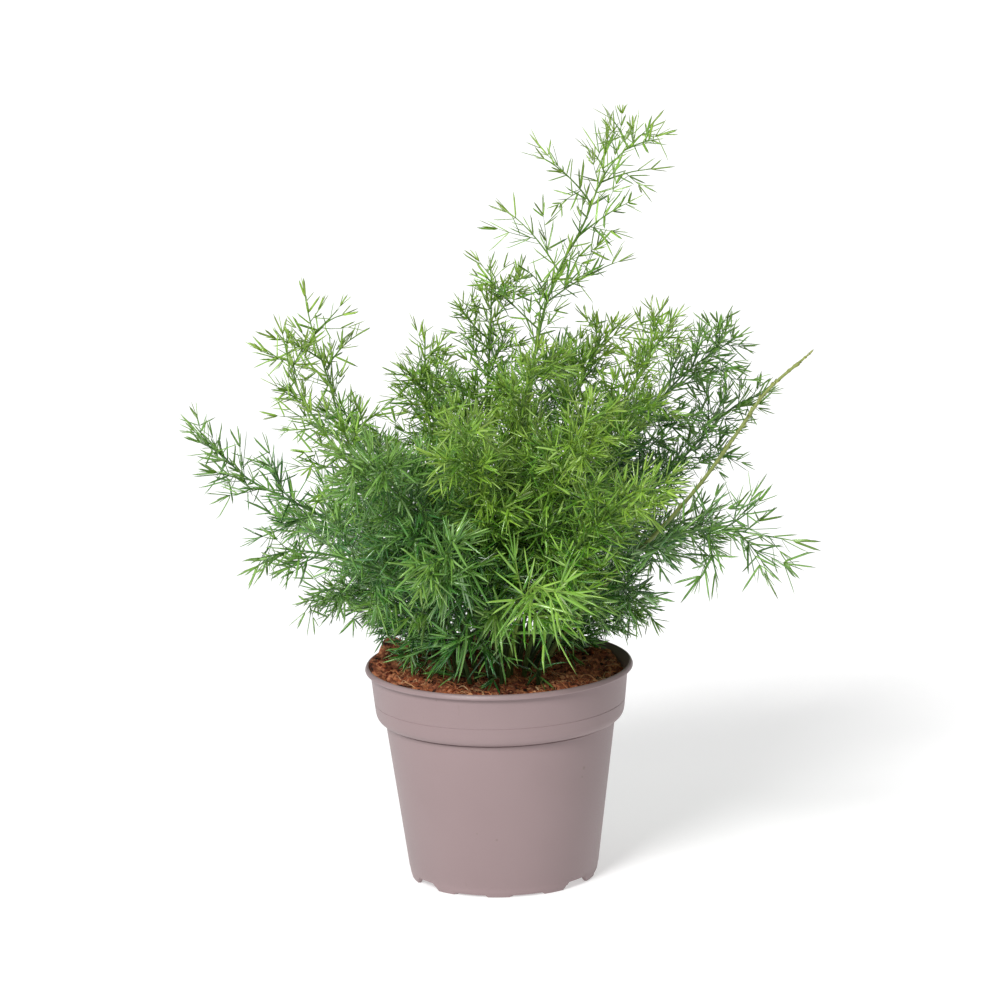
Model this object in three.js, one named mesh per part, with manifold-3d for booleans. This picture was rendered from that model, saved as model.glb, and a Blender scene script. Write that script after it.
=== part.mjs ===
// A young asparagus 'Sprengeri' in its nursery pot: the pot, the soil and the leafy canes.
// Millimetres, Z up. The pot stands on Z = 0 with its axis on Z and its front towards -Y.
import * as THREE from "three";
import { mergeVertices } from "three/addons/utils/BufferGeometryUtils.js";
import Module from "manifold-3d";

const wasm = await Module();
wasm.setup();

// The pot
const POT_HEIGHT = 97.5;
const RIM_RADIUS = 60;
const POT_SIDES = 32;
const WALL = 1.2;
const SKIRT_FOOT = 0.8; // the wall ends this far above the floor, on small pads
const PAD_COUNT = 10;
const PAD_WIDTH = 15; // degrees
const BASE_TURN = -3; // the pattern under the pot is turned this far, in degrees
const NOTCH_ANGLES = [-126, -54, 54, 126];
const NOTCH_HEIGHT = 3.3;
const DRAIN_COUNT = 6;
const DRAIN_RADIUS = 3;
const DRAIN_CIRCLE = 27;

// The soil
const SOIL_LEVEL = 94.2;
const SOIL_EDGE = 56.5;
const SOIL_RINGS = [46, 34, 19];

// The canes
const ROOT_DEPTH = 11;
const HOLE_PLAY = 0.6;
const STEM_RADIUS = [1.5, 1.2]; // at the root and where the tip begins
const STEM_SIDES = 4;
const BRANCH_RADIUS = [0.85, 0.72];
const BRANCH_GAP = 16; // from one side branch to the next along the cane
const BRANCH_CLEARANCE = 4.6; // between the middle lines of two canes
const NEEDLE_RADIUS = 0.46;
const NEEDLE_CLEARANCE = 0.3;
const NEEDLE_STEP = 15; // one needle in so many is kept on the side branches
const GOLDEN_TURN = THREE.MathUtils.degToRad(137.5);
const FULL_TURN = 2 * Math.PI;
const UP = new THREE.Vector3(0, 0, 1);
const SIDEWAYS = new THREE.Vector3(1, 0, 0);

// Every cane by hand. root is the place in the soil, route the points the stem passes,
// bare the share without side branches, reach the longest side branch, needle the usual
// needle, and sides hold branches placed singly: share of the stem, then the tip.
const CANES = [
  {
    name: "cane_tall", kind: "fresh", seed: 11, root: [3, 1], bare: 0.42, reach: 40, needle: 13,
    route: [[11, 6, 179], [21, 8, 243], [30, 10, 271], [42, 8, 293], [53, 4, 318], [72, 2, 337]],
    sides: [
      [0.652, 58, 22, 274], [0.655, 17, -14, 277], [0.708, 9, 20, 298], [0.772, 62, -16, 307],
      [0.835, 25, -8, 326], [0.875, 73, 16, 316], [0.892, 45, 24, 325], [0.945, 73, -16, 334],
      [0.95, 55, 6, 341],
    ],
  },
  {
    name: "cane_left_high", kind: "fresh", seed: 12, root: [-11, -5], bare: 0.34, reach: 36, needle: 13,
    route: [[-34, -14, 157], [-62, -22, 201], [-72, -22, 234], [-78, -18, 254], [-81, -14, 269]],
    sides: [[0.83, -59, -6, 249], [0.855, -94, -34, 254], [0.912, -64, -30, 263]],
  },
  {
    name: "cane_left_fore", kind: "fresh", seed: 13, root: [-19, -13], bare: 0.34, reach: 34, needle: 13,
    route: [[-38, -34, 162], [-71, -52, 212], [-85, -52, 237], [-90, -48, 259]],
  },
  {
    name: "cane_far_left", kind: "deep", seed: 14, root: [-16, 1], bare: 0.34, reach: 36, needle: 14,
    route: [[-43, 2, 145], [-83, 6, 168], [-109, 8, 182], [-123, 8, 196], [-133, 8, 205]],
  },
  {
    name: "cane_left_low", kind: "deep", seed: 15, root: [-15, -18], bare: 0.3, reach: 36, needle: 15,
    route: [[-36, -46, 142], [-63, -70, 162], [-85, -78, 169], [-99, -80, 166]],
  },
  {
    name: "cane_left_droop", kind: "deep", seed: 16, root: [-18, -6], bare: 0.3, reach: 30, needle: 14,
    route: [[-43, -18, 131], [-63, -28, 139], [-77, -34, 140], [-85, -36, 131]],
  },
  {
    name: "cane_centre_high", kind: "fresh", seed: 17, root: [-1, 9], bare: 0.36, reach: 36, needle: 13,
    route: [[-4, 24, 148], [-3, 34, 201], [0, 32, 243], [1, 26, 272]],
  },
  {
    name: "cane_mid_left", kind: "fresh", seed: 18, root: [-7, 1], bare: 0.38, reach: 34, needle: 13,
    route: [[-18, 2, 153], [-27, -4, 201], [-29, -8, 229], [-29, -10, 248]],
  },
  {
    name: "cane_mid_right", kind: "fresh", seed: 19, root: [7, 7], bare: 0.36, reach: 34, needle: 13,
    route: [[20, 14, 159], [33, 18, 203], [44, 16, 231], [58, 10, 249]],
  },
  {
    name: "cane_right_high", kind: "fresh", seed: 20, root: [9, -2], bare: 0.36, reach: 34, needle: 13,
    route: [[31, -4, 158], [52, -8, 204], [68, -8, 234], [75, -4, 256]],
  },
  {
    name: "cane_right_top", kind: "deep", seed: 21, root: [14, 7], bare: 0.36, reach: 34, needle: 13,
    route: [[33, 20, 148], [62, 30, 191], [85, 32, 219], [112, 30, 238]],
    sides: [[0.86, 94, 40, 238], [0.888, 109, 18, 218], [0.932, 101, 20, 246]],
  },
  {
    name: "cane_right_back", kind: "deep", seed: 22, root: [13, 13], bare: 0.36, reach: 34, needle: 13,
    route: [[42, 34, 140], [80, 50, 172], [107, 56, 198], [125, 56, 206]],
  },
  {
    name: "cane_young", kind: "young", seed: 23, root: [20, -7], bare: 0.56, reach: 0, needle: 8,
    route: [
      [46, -18, 134], [72, -30, 163], [90, -34, 184], [107, -34, 207], [120, -30, 224],
      [138, -24, 238],
    ],
  },
  {
    name: "cane_right_low", kind: "deep", seed: 24, root: [13, -8], bare: 0.32, reach: 34, needle: 15,
    route: [[41, -26, 136], [68, -42, 159], [94, -48, 167], [130, -48, 161]],
    sides: [[0.73, 97, -30, 178], [0.758, 95, -62, 150], [0.81, 115, -60, 182], [0.848, 118, -36, 146]],
  },
  {
    name: "cane_right_droop", kind: "deep", seed: 25, root: [16, -1], bare: 0.32, reach: 26, needle: 13,
    route: [[37, -6, 122], [53, -10, 129], [63, -12, 125], [70, -12, 117]],
  },
  {
    name: "cane_front_bright", kind: "bright", seed: 26, root: [4, -24], bare: 0.4, reach: 26, needle: 18,
    route: [[10, -62, 136], [15, -88, 152], [21, -102, 154], [25, -108, 146]],
  },
  {
    name: "cane_front_low", kind: "deep", seed: 27, root: [-4, -26], bare: 0.34, reach: 30, needle: 16,
    route: [[-12, -60, 145], [-22, -88, 165], [-28, -102, 166], [-33, -108, 158]],
  },
  {
    name: "cane_front_left", kind: "deep", seed: 28, root: [-10, -23], bare: 0.32, reach: 36, needle: 15,
    route: [[-25, -52, 162], [-45, -84, 200], [-55, -96, 211], [-63, -102, 209]],
  },
  {
    name: "cane_front_mid", kind: "fresh", seed: 29, root: [-1, -20], bare: 0.32, reach: 36, needle: 14,
    route: [[-4, -52, 170], [-10, -80, 208], [-13, -92, 223], [-17, -98, 230]],
  },
  {
    name: "cane_front_right", kind: "fresh", seed: 30, root: [5, -18], bare: 0.32, reach: 36, needle: 14,
    route: [[19, -48, 168], [33, -74, 210], [42, -82, 224], [51, -86, 229]],
  },
  {
    name: "cane_front_far_right", kind: "fresh", seed: 31, root: [11, -22], bare: 0.32, reach: 34, needle: 15,
    route: [[28, -52, 151], [50, -78, 183], [62, -88, 194], [74, -94, 195]],
  },
  {
    name: "cane_fore_centre", kind: "fresh", seed: 32, root: [4, -9], bare: 0.34, reach: 36, needle: 13,
    route: [[6, -28, 169], [12, -42, 217], [17, -44, 238], [21, -42, 250]],
  },
  {
    name: "cane_back_left", kind: "deep", seed: 33, root: [-11, 15], bare: 0.32, reach: 38, needle: 14,
    route: [[-30, 40, 135], [-52, 66, 168], [-66, 80, 188], [-75, 86, 197]],
  },
  {
    name: "cane_back_far_left", kind: "deep", seed: 34, root: [-15, 20], bare: 0.32, reach: 36, needle: 14,
    route: [[-40, 54, 118], [-67, 86, 135], [-82, 98, 142], [-95, 104, 139]],
  },
  {
    name: "cane_back_mid", kind: "deep", seed: 35, root: [-5, 20], bare: 0.32, reach: 38, needle: 14,
    route: [[-12, 56, 136], [-20, 84, 177], [-24, 96, 203], [-26, 100, 215]],
  },
  {
    name: "cane_back_high", kind: "deep", seed: 36, root: [2, 18], bare: 0.32, reach: 38, needle: 14,
    route: [[6, 50, 142], [17, 80, 181], [24, 90, 207], [32, 92, 221]],
  },
  {
    name: "cane_back_right", kind: "deep", seed: 37, root: [8, 21], bare: 0.32, reach: 38, needle: 14,
    route: [[24, 54, 131], [49, 84, 161], [63, 96, 182], [73, 102, 190]],
  },
  {
    name: "cane_back_far_right", kind: "deep", seed: 38, root: [15, 20], bare: 0.32, reach: 36, needle: 14,
    route: [[33, 52, 117], [66, 82, 133], [85, 96, 134], [100, 102, 127]],
  },
  {
    name: "cane_low_left", kind: "deep", seed: 41, root: [-26, -13], bare: 0.25, reach: 20, needle: 13,
    route: [[-37, -36, 126], [-47, -50, 139], [-55, -58, 140]],
  },
  {
    name: "cane_low_fore", kind: "deep", seed: 42, root: [1, -32], bare: 0.2, reach: 16, needle: 14,
    route: [[1, -48, 130], [1, -60, 138], [-2, -68, 136]],
  },
  {
    name: "cane_low_right", kind: "deep", seed: 43, root: [17, -26], bare: 0.2, reach: 18, needle: 14,
    route: [[28, -42, 128], [38, -54, 138], [46, -60, 138]],
  },
  {
    name: "cane_low_fore_left", kind: "deep", seed: 44, root: [-13, -30], bare: 0.2, reach: 16, needle: 14,
    route: [[-23, -44, 128], [-32, -56, 136], [-39, -62, 134]],
  },
  {
    name: "cane_low_back_right", kind: "deep", seed: 45, root: [19, 11], bare: 0.25, reach: 26, needle: 13,
    route: [[42, 30, 108], [56, 44, 114], [65, 52, 110]],
  },
  {
    name: "cane_low_back_left", kind: "deep", seed: 46, root: [-17, 10], bare: 0.25, reach: 26, needle: 13,
    route: [[-44, 28, 111], [-56, 40, 116], [-66, 48, 112]],
  },
  {
    name: "cane_back_low", kind: "deep", seed: 39, root: [-1, 26], bare: 0.32, reach: 34, needle: 14,
    route: [[-4, 66, 105], [-5, 98, 116], [-6, 112, 115], [-8, 120, 106]],
  },
];

const plastic = new THREE.MeshStandardMaterial({ name: "plastic", color: 0xab9a94, roughness: 0.5 });
const peat = new THREE.MeshStandardMaterial({ name: "peat", color: 0x6e4030, roughness: 0.95 });
const LEAF = {
  fresh: new THREE.MeshStandardMaterial({ name: "fresh leaf", color: 0x5c9a35, roughness: 0.5 }),
  deep: new THREE.MeshStandardMaterial({ name: "deep leaf", color: 0x3a7a40, roughness: 0.5 }),
  bright: new THREE.MeshStandardMaterial({ name: "bright leaf", color: 0x7fb648, roughness: 0.5 }),
  young: new THREE.MeshStandardMaterial({ name: "young shoot", color: 0x8c9a3c, roughness: 0.6 }),
};

// A shape with the corners that its faces share made one.
function joined(geometry) {
  geometry.deleteAttribute("normal");
  geometry.deleteAttribute("uv");
  return mergeVertices(geometry, 1e-4);
}

// A closed body from a joined shape, without the faces that have shrunk to nothing.
function toSolid(geometry) {
  const index = geometry.index.array;
  const triangles = [];
  for (let i = 0; i < index.length; i += 3) {
    const [a, b, c] = [index[i], index[i + 1], index[i + 2]];
    if (a !== b && b !== c && c !== a) triangles.push(a, b, c);
  }
  return new wasm.Manifold(new wasm.Mesh({
    numProp: 3,
    vertProperties: new Float32Array(geometry.attributes.position.array),
    triVerts: new Uint32Array(triangles),
  }));
}

// The largest piece of a body, as a named mesh.
function toMesh(name, solid, material) {
  const pieces = solid.simplify(0.01).decompose();
  pieces.sort((a, b) => b.volume() - a.volume());
  const mesh = pieces[0].getMesh();
  const geometry = new THREE.BufferGeometry();
  geometry.setAttribute("position", new THREE.BufferAttribute(mesh.vertProperties, 3));
  geometry.setIndex(new THREE.BufferAttribute(mesh.triVerts, 1));
  geometry.computeVertexNormals();
  const result = new THREE.Mesh(geometry, material);
  result.name = name;
  return result;
}

// A shape turned round the Z axis, from [radius, height] pairs.
function turned(profile, sides) {
  const points = profile.map(([radius, height]) => new THREE.Vector2(radius, height));
  return joined(new THREE.LatheGeometry(points, sides)).rotateX(Math.PI / 2);
}

// The height of the soil's surface: nearly up to the rim, with a heap at the left and a dip at
// the right, where it has shrunk from the wall.
function soilHeight(x, y) {
  const ripple = 0.9 * Math.sin(0.23 * x + 1) * Math.cos(0.19 * y) + 0.6 * Math.sin(0.41 * y - 0.17 * x);
  const heap = 6.5 * Math.exp(-((x + 50) ** 2 + (y - 28) ** 2) / 150);
  const mound = 2 * Math.exp(-(x * x + y * y) / 700);
  const dip = 5.5 * Math.exp(-((x - 54) ** 2 + (y + 4) ** 2) / 300);
  return SOIL_LEVEL - 0.03 * x + ripple + heap + mound - dip;
}

// The soil's edge leans outwards with the wall that holds it.
function edgeRadius(height) {
  return Math.min(SOIL_EDGE, 54.05 + 0.1235 * (height - 76.6));
}

function buildPot() {
  const shell = toSolid(turned([
    [0, 0], [14.2, 0], [15.8, 3.6], [39.9, 3.6], [39.9, SKIRT_FOOT],
    [41.4, SKIRT_FOOT], [42, 2.2], [51.5, 71.6], [53.4, 72.5], [54.9, 73.9], [55.65, 75.9],
    [56.25, 80.7], [55.95, 81.1], [56.35, 81.5], [57.7, 95.1],
    [59.8, 95.2], [RIM_RADIUS, 95.6], [RIM_RADIUS, 96.9], [59.4, POT_HEIGHT], [58.4, POT_HEIGHT],
    [57.7 - WALL, 93.2], [55.65 - WALL, 76.6], [53.9 - WALL, 73.9], [51.55 - WALL, 72.6],
    [42.3 - WALL, 5], [14.6, 5], [13.2, 1.4], [0, 1.4],
  ], POT_SIDES));
  const pads = [];
  for (let i = 0; i < PAD_COUNT; i += 1) {
    const middle = THREE.MathUtils.degToRad(BASE_TURN - 90 + (i * 360) / PAD_COUNT);
    const half = THREE.MathUtils.degToRad(PAD_WIDTH / 2);
    const outline = new THREE.Shape();
    outline.absarc(0, 0, 41.05, middle - half, middle + half, false);
    outline.absarc(0, 0, 40.35, middle + half, middle - half, true);
    const shape = { depth: 1.4, bevelEnabled: false, curveSegments: 1 };
    pads.push(toSolid(joined(new THREE.ExtrudeGeometry(outline, shape))));
  }
  const cuts = NOTCH_ANGLES.map((degrees) => {
    const angle = THREE.MathUtils.degToRad(degrees + BASE_TURN - 90);
    const outline = new THREE.Shape([
      new THREE.Vector2(-7.6, -0.5), new THREE.Vector2(7.6, -0.5),
      new THREE.Vector2(5.6, NOTCH_HEIGHT), new THREE.Vector2(-5.6, NOTCH_HEIGHT),
    ]);
    const outward = new THREE.Vector3(Math.cos(angle), Math.sin(angle), 0);
    const across = new THREE.Vector3().crossVectors(UP, outward);
    const placing = new THREE.Matrix4().makeBasis(across, UP, outward);
    placing.setPosition(outward.clone().multiplyScalar(37));
    const wedge = new THREE.ExtrudeGeometry(outline, { depth: 8, bevelEnabled: false });
    return toSolid(joined(wedge).applyMatrix4(placing));
  });
  for (let i = 0; i < DRAIN_COUNT; i += 1) {
    const angle = (i * FULL_TURN) / DRAIN_COUNT;
    const drain = joined(new THREE.CylinderGeometry(DRAIN_RADIUS, DRAIN_RADIUS, 4, 6)).rotateX(Math.PI / 2);
    drain.translate(DRAIN_CIRCLE * Math.cos(angle), DRAIN_CIRCLE * Math.sin(angle), 4.3);
    cuts.push(toSolid(drain));
  }
  const padded = wasm.Manifold.union([shell, ...pads]);
  return toMesh("pot", padded.subtract(wasm.Manifold.union(cuts)), plastic);
}

// Each cane stands in a hole a little wider than its own foot.
function buildSoil(grown) {
  const geometry = turned([
    [0, 1.7], [12.9, 1.7], [14.3, 5.3], [40.8, 5.3], [49.85, 72.4], [52.35, 74.3], [54, 76.9],
    [55, 84], [SOIL_EDGE, SOIL_LEVEL],
    ...SOIL_RINGS.map((radius) => [radius, SOIL_LEVEL]), [0, SOIL_LEVEL],
  ], POT_SIDES);
  const place = geometry.attributes.position;
  for (let i = 0; i < place.count; i += 1) {
    if (place.getZ(i) < SOIL_LEVEL - 0.01) continue;
    const height = soilHeight(place.getX(i), place.getY(i));
    const inwards = Math.min(1, edgeRadius(height) / Math.hypot(place.getX(i), place.getY(i)));
    place.setXYZ(i, place.getX(i) * inwards, place.getY(i) * inwards, height);
  }
  const holes = grown.map(({ core }) => {
    const points = core.points.slice(0, 4);
    points[0] = points[0].clone().addScaledVector(UP, -0.3);
    return pointedTube(asCore(points), STEM_RADIUS.map((radius) => radius + HOLE_PLAY), STEM_SIDES);
  });
  return toMesh("soil", toSolid(geometry).subtract(wasm.Manifold.union(holes)), peat);
}

// Numbers that look random and are the same every time.
class Draws {
  constructor(seed) {
    this.state = seed >>> 0;
  }

  next() {
    this.state = (Math.imul(this.state, 1664525) + 1013904223) >>> 0;
    return this.state / 4294967296;
  }

  between(low, high) {
    return low + (high - low) * this.next();
  }
}

// A line through points, measured along its length.
class Path {
  constructor(points) {
    this.points = points;
    this.marks = [0];
    for (let i = 1; i < points.length; i += 1) {
      this.marks.push(this.marks[i - 1] + points[i].distanceTo(points[i - 1]));
    }
    this.length = this.marks.at(-1);
  }

  at(distance) {
    const place = Math.min(Math.max(distance, 0), this.length);
    let i = 0;
    while (i < this.points.length - 2 && this.marks[i + 1] < place) i += 1;
    const [from, to] = [this.points[i], this.points[i + 1]];
    const share = (place - this.marks[i]) / (this.marks[i + 1] - this.marks[i]);
    return { point: from.clone().lerp(to, share), along: to.clone().sub(from).normalize() };
  }

  samples(gap) {
    const count = Math.max(2, Math.floor(this.length / gap) + 1);
    return Array.from({ length: count }, (_, i) => this.at((this.length * i) / (count - 1)).point);
  }
}

// The direction square to a line at one turn round it.
function aside(along, turn) {
  const first = new THREE.Vector3().crossVectors(along, Math.abs(along.z) < 0.9 ? UP : SIDEWAYS).normalize();
  const second = new THREE.Vector3().crossVectors(along, first);
  return first.multiplyScalar(Math.cos(turn)).addScaledVector(second, Math.sin(turn));
}

function leaning(along, turn, angle) {
  const heading = along.clone().multiplyScalar(Math.cos(angle));
  return heading.addScaledVector(aside(along, turn), Math.sin(angle)).normalize();
}

// The stem stands upright in its hole, then passes smoothly through the points of its route.
function stemPath(cane) {
  const [x, y] = cane.root;
  const root = new THREE.Vector3(x, y, soilHeight(x, y));
  const route = cane.route.map((place) => new THREE.Vector3(...place));
  const rise = 0.55 * route[0].distanceTo(root);
  const before = route[0].clone().addScaledVector(UP, -2 * rise);
  const after = route.at(-1).clone().multiplyScalar(2).sub(route.at(-2));
  const knots = [before, root, ...route, after];
  const points = [root.clone().addScaledVector(UP, -ROOT_DEPTH), root];
  for (let i = 1; i < knots.length - 2; i += 1) {
    const leave = knots[i + 1].clone().sub(knots[i - 1]).divideScalar(2);
    const arrive = knots[i + 2].clone().sub(knots[i]).divideScalar(2);
    for (let k = 1; k <= 8; k += 1) {
      const t = k / 8;
      const point = knots[i].clone().multiplyScalar(2 * t ** 3 - 3 * t * t + 1);
      point.addScaledVector(leave, t ** 3 - 2 * t * t + t);
      point.addScaledVector(knots[i + 1], 3 * t * t - 2 * t ** 3);
      point.addScaledVector(arrive, t ** 3 - t * t);
      points.push(point);
    }
  }
  return new Path(points);
}

// A side branch leaves the stem at an angle and bends a little towards the light.
function branchPath(start, along, turn, angle, long, lift, steps) {
  const points = [start];
  let heading = leaning(along, turn, angle);
  for (let k = 0; k < steps; k += 1) {
    points.push(points.at(-1).clone().addScaledVector(heading, long / steps));
    heading = heading.clone().addScaledVector(along, 0.05).addScaledVector(UP, lift).normalize();
  }
  return new Path(points);
}

function givenPath(stem, [share, x, y, z]) {
  const { point, along } = stem.at(share * stem.length);
  const chord = new THREE.Vector3(x, y, z).sub(point);
  const bow = 0.24 * chord.length();
  const points = [];
  for (let k = 0; k <= 5; k += 1) {
    const t = k / 5;
    points.push(point.clone().addScaledVector(chord, t).addScaledVector(along, bow * t * (1 - t)));
  }
  return { path: new Path(points), share };
}

// Whether a place is free of the pot and of the soil.
function isOutside({ x, y, z }, margin) {
  const radius = Math.hypot(x, y);
  if (radius > 63) return true;
  return z > (radius > 52 ? POT_HEIGHT : soilHeight(x, y)) + margin;
}

// Places along a path and on through its pointed tip.
function lineOf(path, tip) {
  const line = path.samples(2.5);
  const { point, along } = path.at(path.length);
  for (let beyond = 2.5; beyond <= tip; beyond += 2.5) {
    line.push(point.clone().addScaledVector(along, beyond));
  }
  return line;
}

// The stems come first. Then each side branch turns round its stem until it is clear of the others.
function growBranches() {
  const grown = CANES.map((cane) => ({ ...cane, stem: stemPath(cane), branches: [] }));
  for (const cane of grown) cane.line = lineOf(cane.stem, cane.needle);
  for (const cane of grown) {
    const draws = new Draws(cane.seed * 7919);
    const others = grown.filter((other) => other !== cane).flatMap((other) => other.line);
    const { length } = cane.stem;
    const given = (cane.sides ?? []).map((side) => givenPath(cane.stem, side));
    const ruleEnd = cane.sides ? length * cane.sides[0][0] - 6 : length - 7;
    let turn = draws.between(0, FULL_TURN);
    let distance = cane.reach ? length * cane.bare : length;
    while (distance < ruleEnd) {
      const share = Math.max(0, distance / length - cane.bare) / (1 - cane.bare);
      const taper = (1 - 0.72 * share ** 1.5) * (0.7 + 0.3 * Math.min(1, share * 4));
      const long = cane.reach * taper * draws.between(0.85, 1.12);
      const angle = THREE.MathUtils.degToRad(64 - 20 * share);
      const lift = draws.between(-0.03, 0.05);
      const { point, along } = cane.stem.at(distance);
      for (let attempt = 0; attempt < 9; attempt += 1) {
        const branch = branchPath(point, along, turn + attempt * 0.7, angle, long, lift, 5);
        const line = lineOf(branch, cane.needle);
        const clear = line.every((place) => isOutside(place, 3)
          && others.every((other) => other.distanceTo(place) > BRANCH_CLEARANCE));
        if (clear) {
          cane.branches.push({ path: branch, share: distance / length });
          break;
        }
      }
      distance += draws.between(0.85, 1.2) * BRANCH_GAP;
      turn += GOLDEN_TURN;
    }
    cane.branches.push(...given);
    for (const { path } of cane.branches) cane.line.push(...lineOf(path, cane.needle));
  }
  return grown;
}

// A few needles spread from every knot of a branch, and three close its tip.
function needlesAlong(path, start, gap, most, fade, cane, draws) {
  const needles = [];
  const tight = cane.kind === "young" ? 0.34 : 1;
  let turn = draws.between(0, FULL_TURN);
  let distance = start;
  while (distance < path.length - 1) {
    const { along } = path.at(distance);
    const share = distance / path.length;
    const count = 2 + Math.floor(draws.next() * (most - 1));
    for (let j = 0; j < count; j += 1) {
      const round = turn + (j - (count - 1) / 2) * 1.25 + draws.between(-0.35, 0.35);
      const angle = THREE.MathUtils.degToRad((draws.between(48, 80) - 18 * share) * tight);
      const long = cane.needle * draws.between(0.7, 1.2) * (1 - fade * share);
      needles.push({ share, heading: leaning(along, round, angle), long });
    }
    turn += GOLDEN_TURN;
    distance += gap * draws.between(0.8, 1.2);
  }
  const { along } = path.at(path.length);
  for (let j = 0; j < 3; j += 1) {
    const angle = THREE.MathUtils.degToRad(draws.between(12, 30) * tight);
    const heading = leaning(along, turn + j * 2.1, angle);
    needles.push({ share: 1, heading, long: cane.needle * draws.between(0.55, 0.85) });
  }
  return needles;
}

// The places taken by every cane, kept in cells so that neighbours are found quickly.
class TakenPlaces {
  constructor() {
    this.cells = new Map();
  }

  key(x, y, z) {
    return `${Math.floor(x / 6)},${Math.floor(y / 6)},${Math.floor(z / 6)}`;
  }

  add(owner, places, radius) {
    for (const place of places) {
      const key = this.key(place.x, place.y, place.z);
      if (!this.cells.has(key)) this.cells.set(key, []);
      this.cells.get(key).push({ owner, place, radius });
    }
  }

  isFree(owner, places, radius) {
    return places.every((place) => {
      for (const dx of [-6, 0, 6]) {
        for (const dy of [-6, 0, 6]) {
          for (const dz of [-6, 0, 6]) {
            const near = this.cells.get(this.key(place.x + dx, place.y + dy, place.z + dz)) ?? [];
            for (const other of near) {
              const room = other.radius + radius + NEEDLE_CLEARANCE;
              const apart = other.place.distanceToSquared(place);
              if (other.owner !== owner && apart < room * room + 2) return false;
            }
          }
        }
      }
      return true;
    });
  }
}

// The few points that a slim tube is built on, ending in a pointed tip beyond the path.
function corePath(path, first, pieces, tip, start) {
  const points = first ? [path.at(0).point] : [];
  for (let k = 0; k <= pieces; k += 1) {
    points.push(path.at(first + ((path.length - first) * k) / pieces).point);
  }
  if (start) points[0] = start;
  const { point, along } = path.at(path.length);
  points.push(point.clone().addScaledVector(along, tip));
  return asCore(points);
}

// A core's body ends where its tip begins. Its reference direction keeps the tube from twisting.
function asCore(points) {
  const core = new Path(points);
  core.body = core.marks.at(-2);
  const chord = points.at(-1).clone().sub(points[0]).normalize();
  const level = Math.abs(chord.z) < 0.98 ? UP : SIDEWAYS;
  core.reference = new THREE.Vector3().crossVectors(chord, level).normalize();
  return core;
}

// The direction of a core at a mark, with two directions square to it.
function frameAt(core, mark) {
  const { along } = core.at(mark);
  const first = core.reference.clone().addScaledVector(along, -core.reference.dot(along)).normalize();
  return { along, first, second: new THREE.Vector3().crossVectors(first, along) };
}

// A needle leaves through the middle of one flat side of its branch, the one nearest its heading.
function throughFlatSide(core, share, heading, sides) {
  const { along, first, second } = frameAt(core, share * core.body);
  const lean = Math.acos(Math.min(Math.max(heading.dot(along), 0.2), 0.95));
  const turn = Math.atan2(heading.dot(first), heading.dot(second));
  const side = FULL_TURN / sides;
  const middle = (Math.floor(turn / side) + 0.5) * side;
  const outward = first.multiplyScalar(Math.sin(middle)).addScaledVector(second, Math.cos(middle));
  return along.multiplyScalar(Math.cos(lean)).addScaledVector(outward, Math.sin(lean));
}

// The needles that this part keeps: a few along each branch, rooted in the middle of its core.
function growNeedles(grown) {
  const taken = new TakenPlaces();
  for (const cane of grown) {
    const pieces = Math.max(3, Math.round(cane.stem.length / 32));
    cane.core = corePath(cane.stem, ROOT_DEPTH + 4, pieces, 0.7 * cane.needle);
    taken.add(cane.name, cane.core.samples(1.5), STEM_RADIUS[0]);
    for (const branch of cane.branches) {
      const start = cane.core.at(branch.share * cane.core.body).point;
      branch.core = corePath(branch.path, 0, branch.path.length > 40 ? 2 : 1, 0.7 * cane.needle, start);
      taken.add(cane.name, branch.core.samples(1.5), BRANCH_RADIUS[0]);
    }
  }
  for (const cane of grown) {
    const draws = new Draws(cane.seed * 7919 + 1);
    const young = cane.kind === "young";
    cane.needles = [];
    const keep = (core, needles, sides) => {
      for (const { share, heading: wanted, long } of needles) {
        const root = core.at(share * core.body).point;
        const heading = throughFlatSide(core, share, wanted, sides);
        const tip = root.clone().addScaledVector(heading, long);
        const places = new Path([root, tip]).samples(1.8);
        const outside = places.every((place) => isOutside(place, 1.6));
        if (outside && taken.isFree(cane.name, places, NEEDLE_RADIUS)) {
          taken.add(cane.name, places, NEEDLE_RADIUS);
          cane.needles.push({ root, heading, long });
        }
      }
    };
    for (const { path, core } of cane.branches) {
      const all = needlesAlong(path, 3.5, 3.6, 4, 0.3, cane, draws).slice(0, -3);
      keep(core, all.filter((_, i) => i % NEEDLE_STEP === 3), 3);
    }
    const bare = cane.stem.length * cane.bare * (young ? 1 : 0.8);
    const all = needlesAlong(cane.stem, bare, young ? 4 : 6, 3, 0.3, cane, draws);
    keep(cane.core, all.filter((_, i) => i % (young ? 2 : 9) === 1), STEM_SIDES);
  }
}

// A slim tube on a core, tapered along its body and pointed at its tip.
function pointedTube(core, radii, sides) {
  const pieces = core.points.length - 1;
  const geometry = joined(new THREE.ConeGeometry(1, 1, sides, pieces));
  const place = geometry.attributes.position;
  for (let i = 0; i < place.count; i += 1) {
    const ring = Math.round((place.getY(i) + 0.5) * pieces);
    const spread = 1 - ring / pieces;
    const centre = core.points[ring].clone();
    if (spread > 0.001) {
      const radius = (radii[0] + ((radii[1] - radii[0]) * core.marks[ring]) / core.body) / spread;
      const { first, second } = frameAt(core, core.marks[ring]);
      centre.addScaledVector(first, radius * place.getX(i)).addScaledVector(second, radius * place.getZ(i));
    }
    place.setXYZ(i, centre.x, centre.y, centre.z);
  }
  return toSolid(geometry);
}

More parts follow.
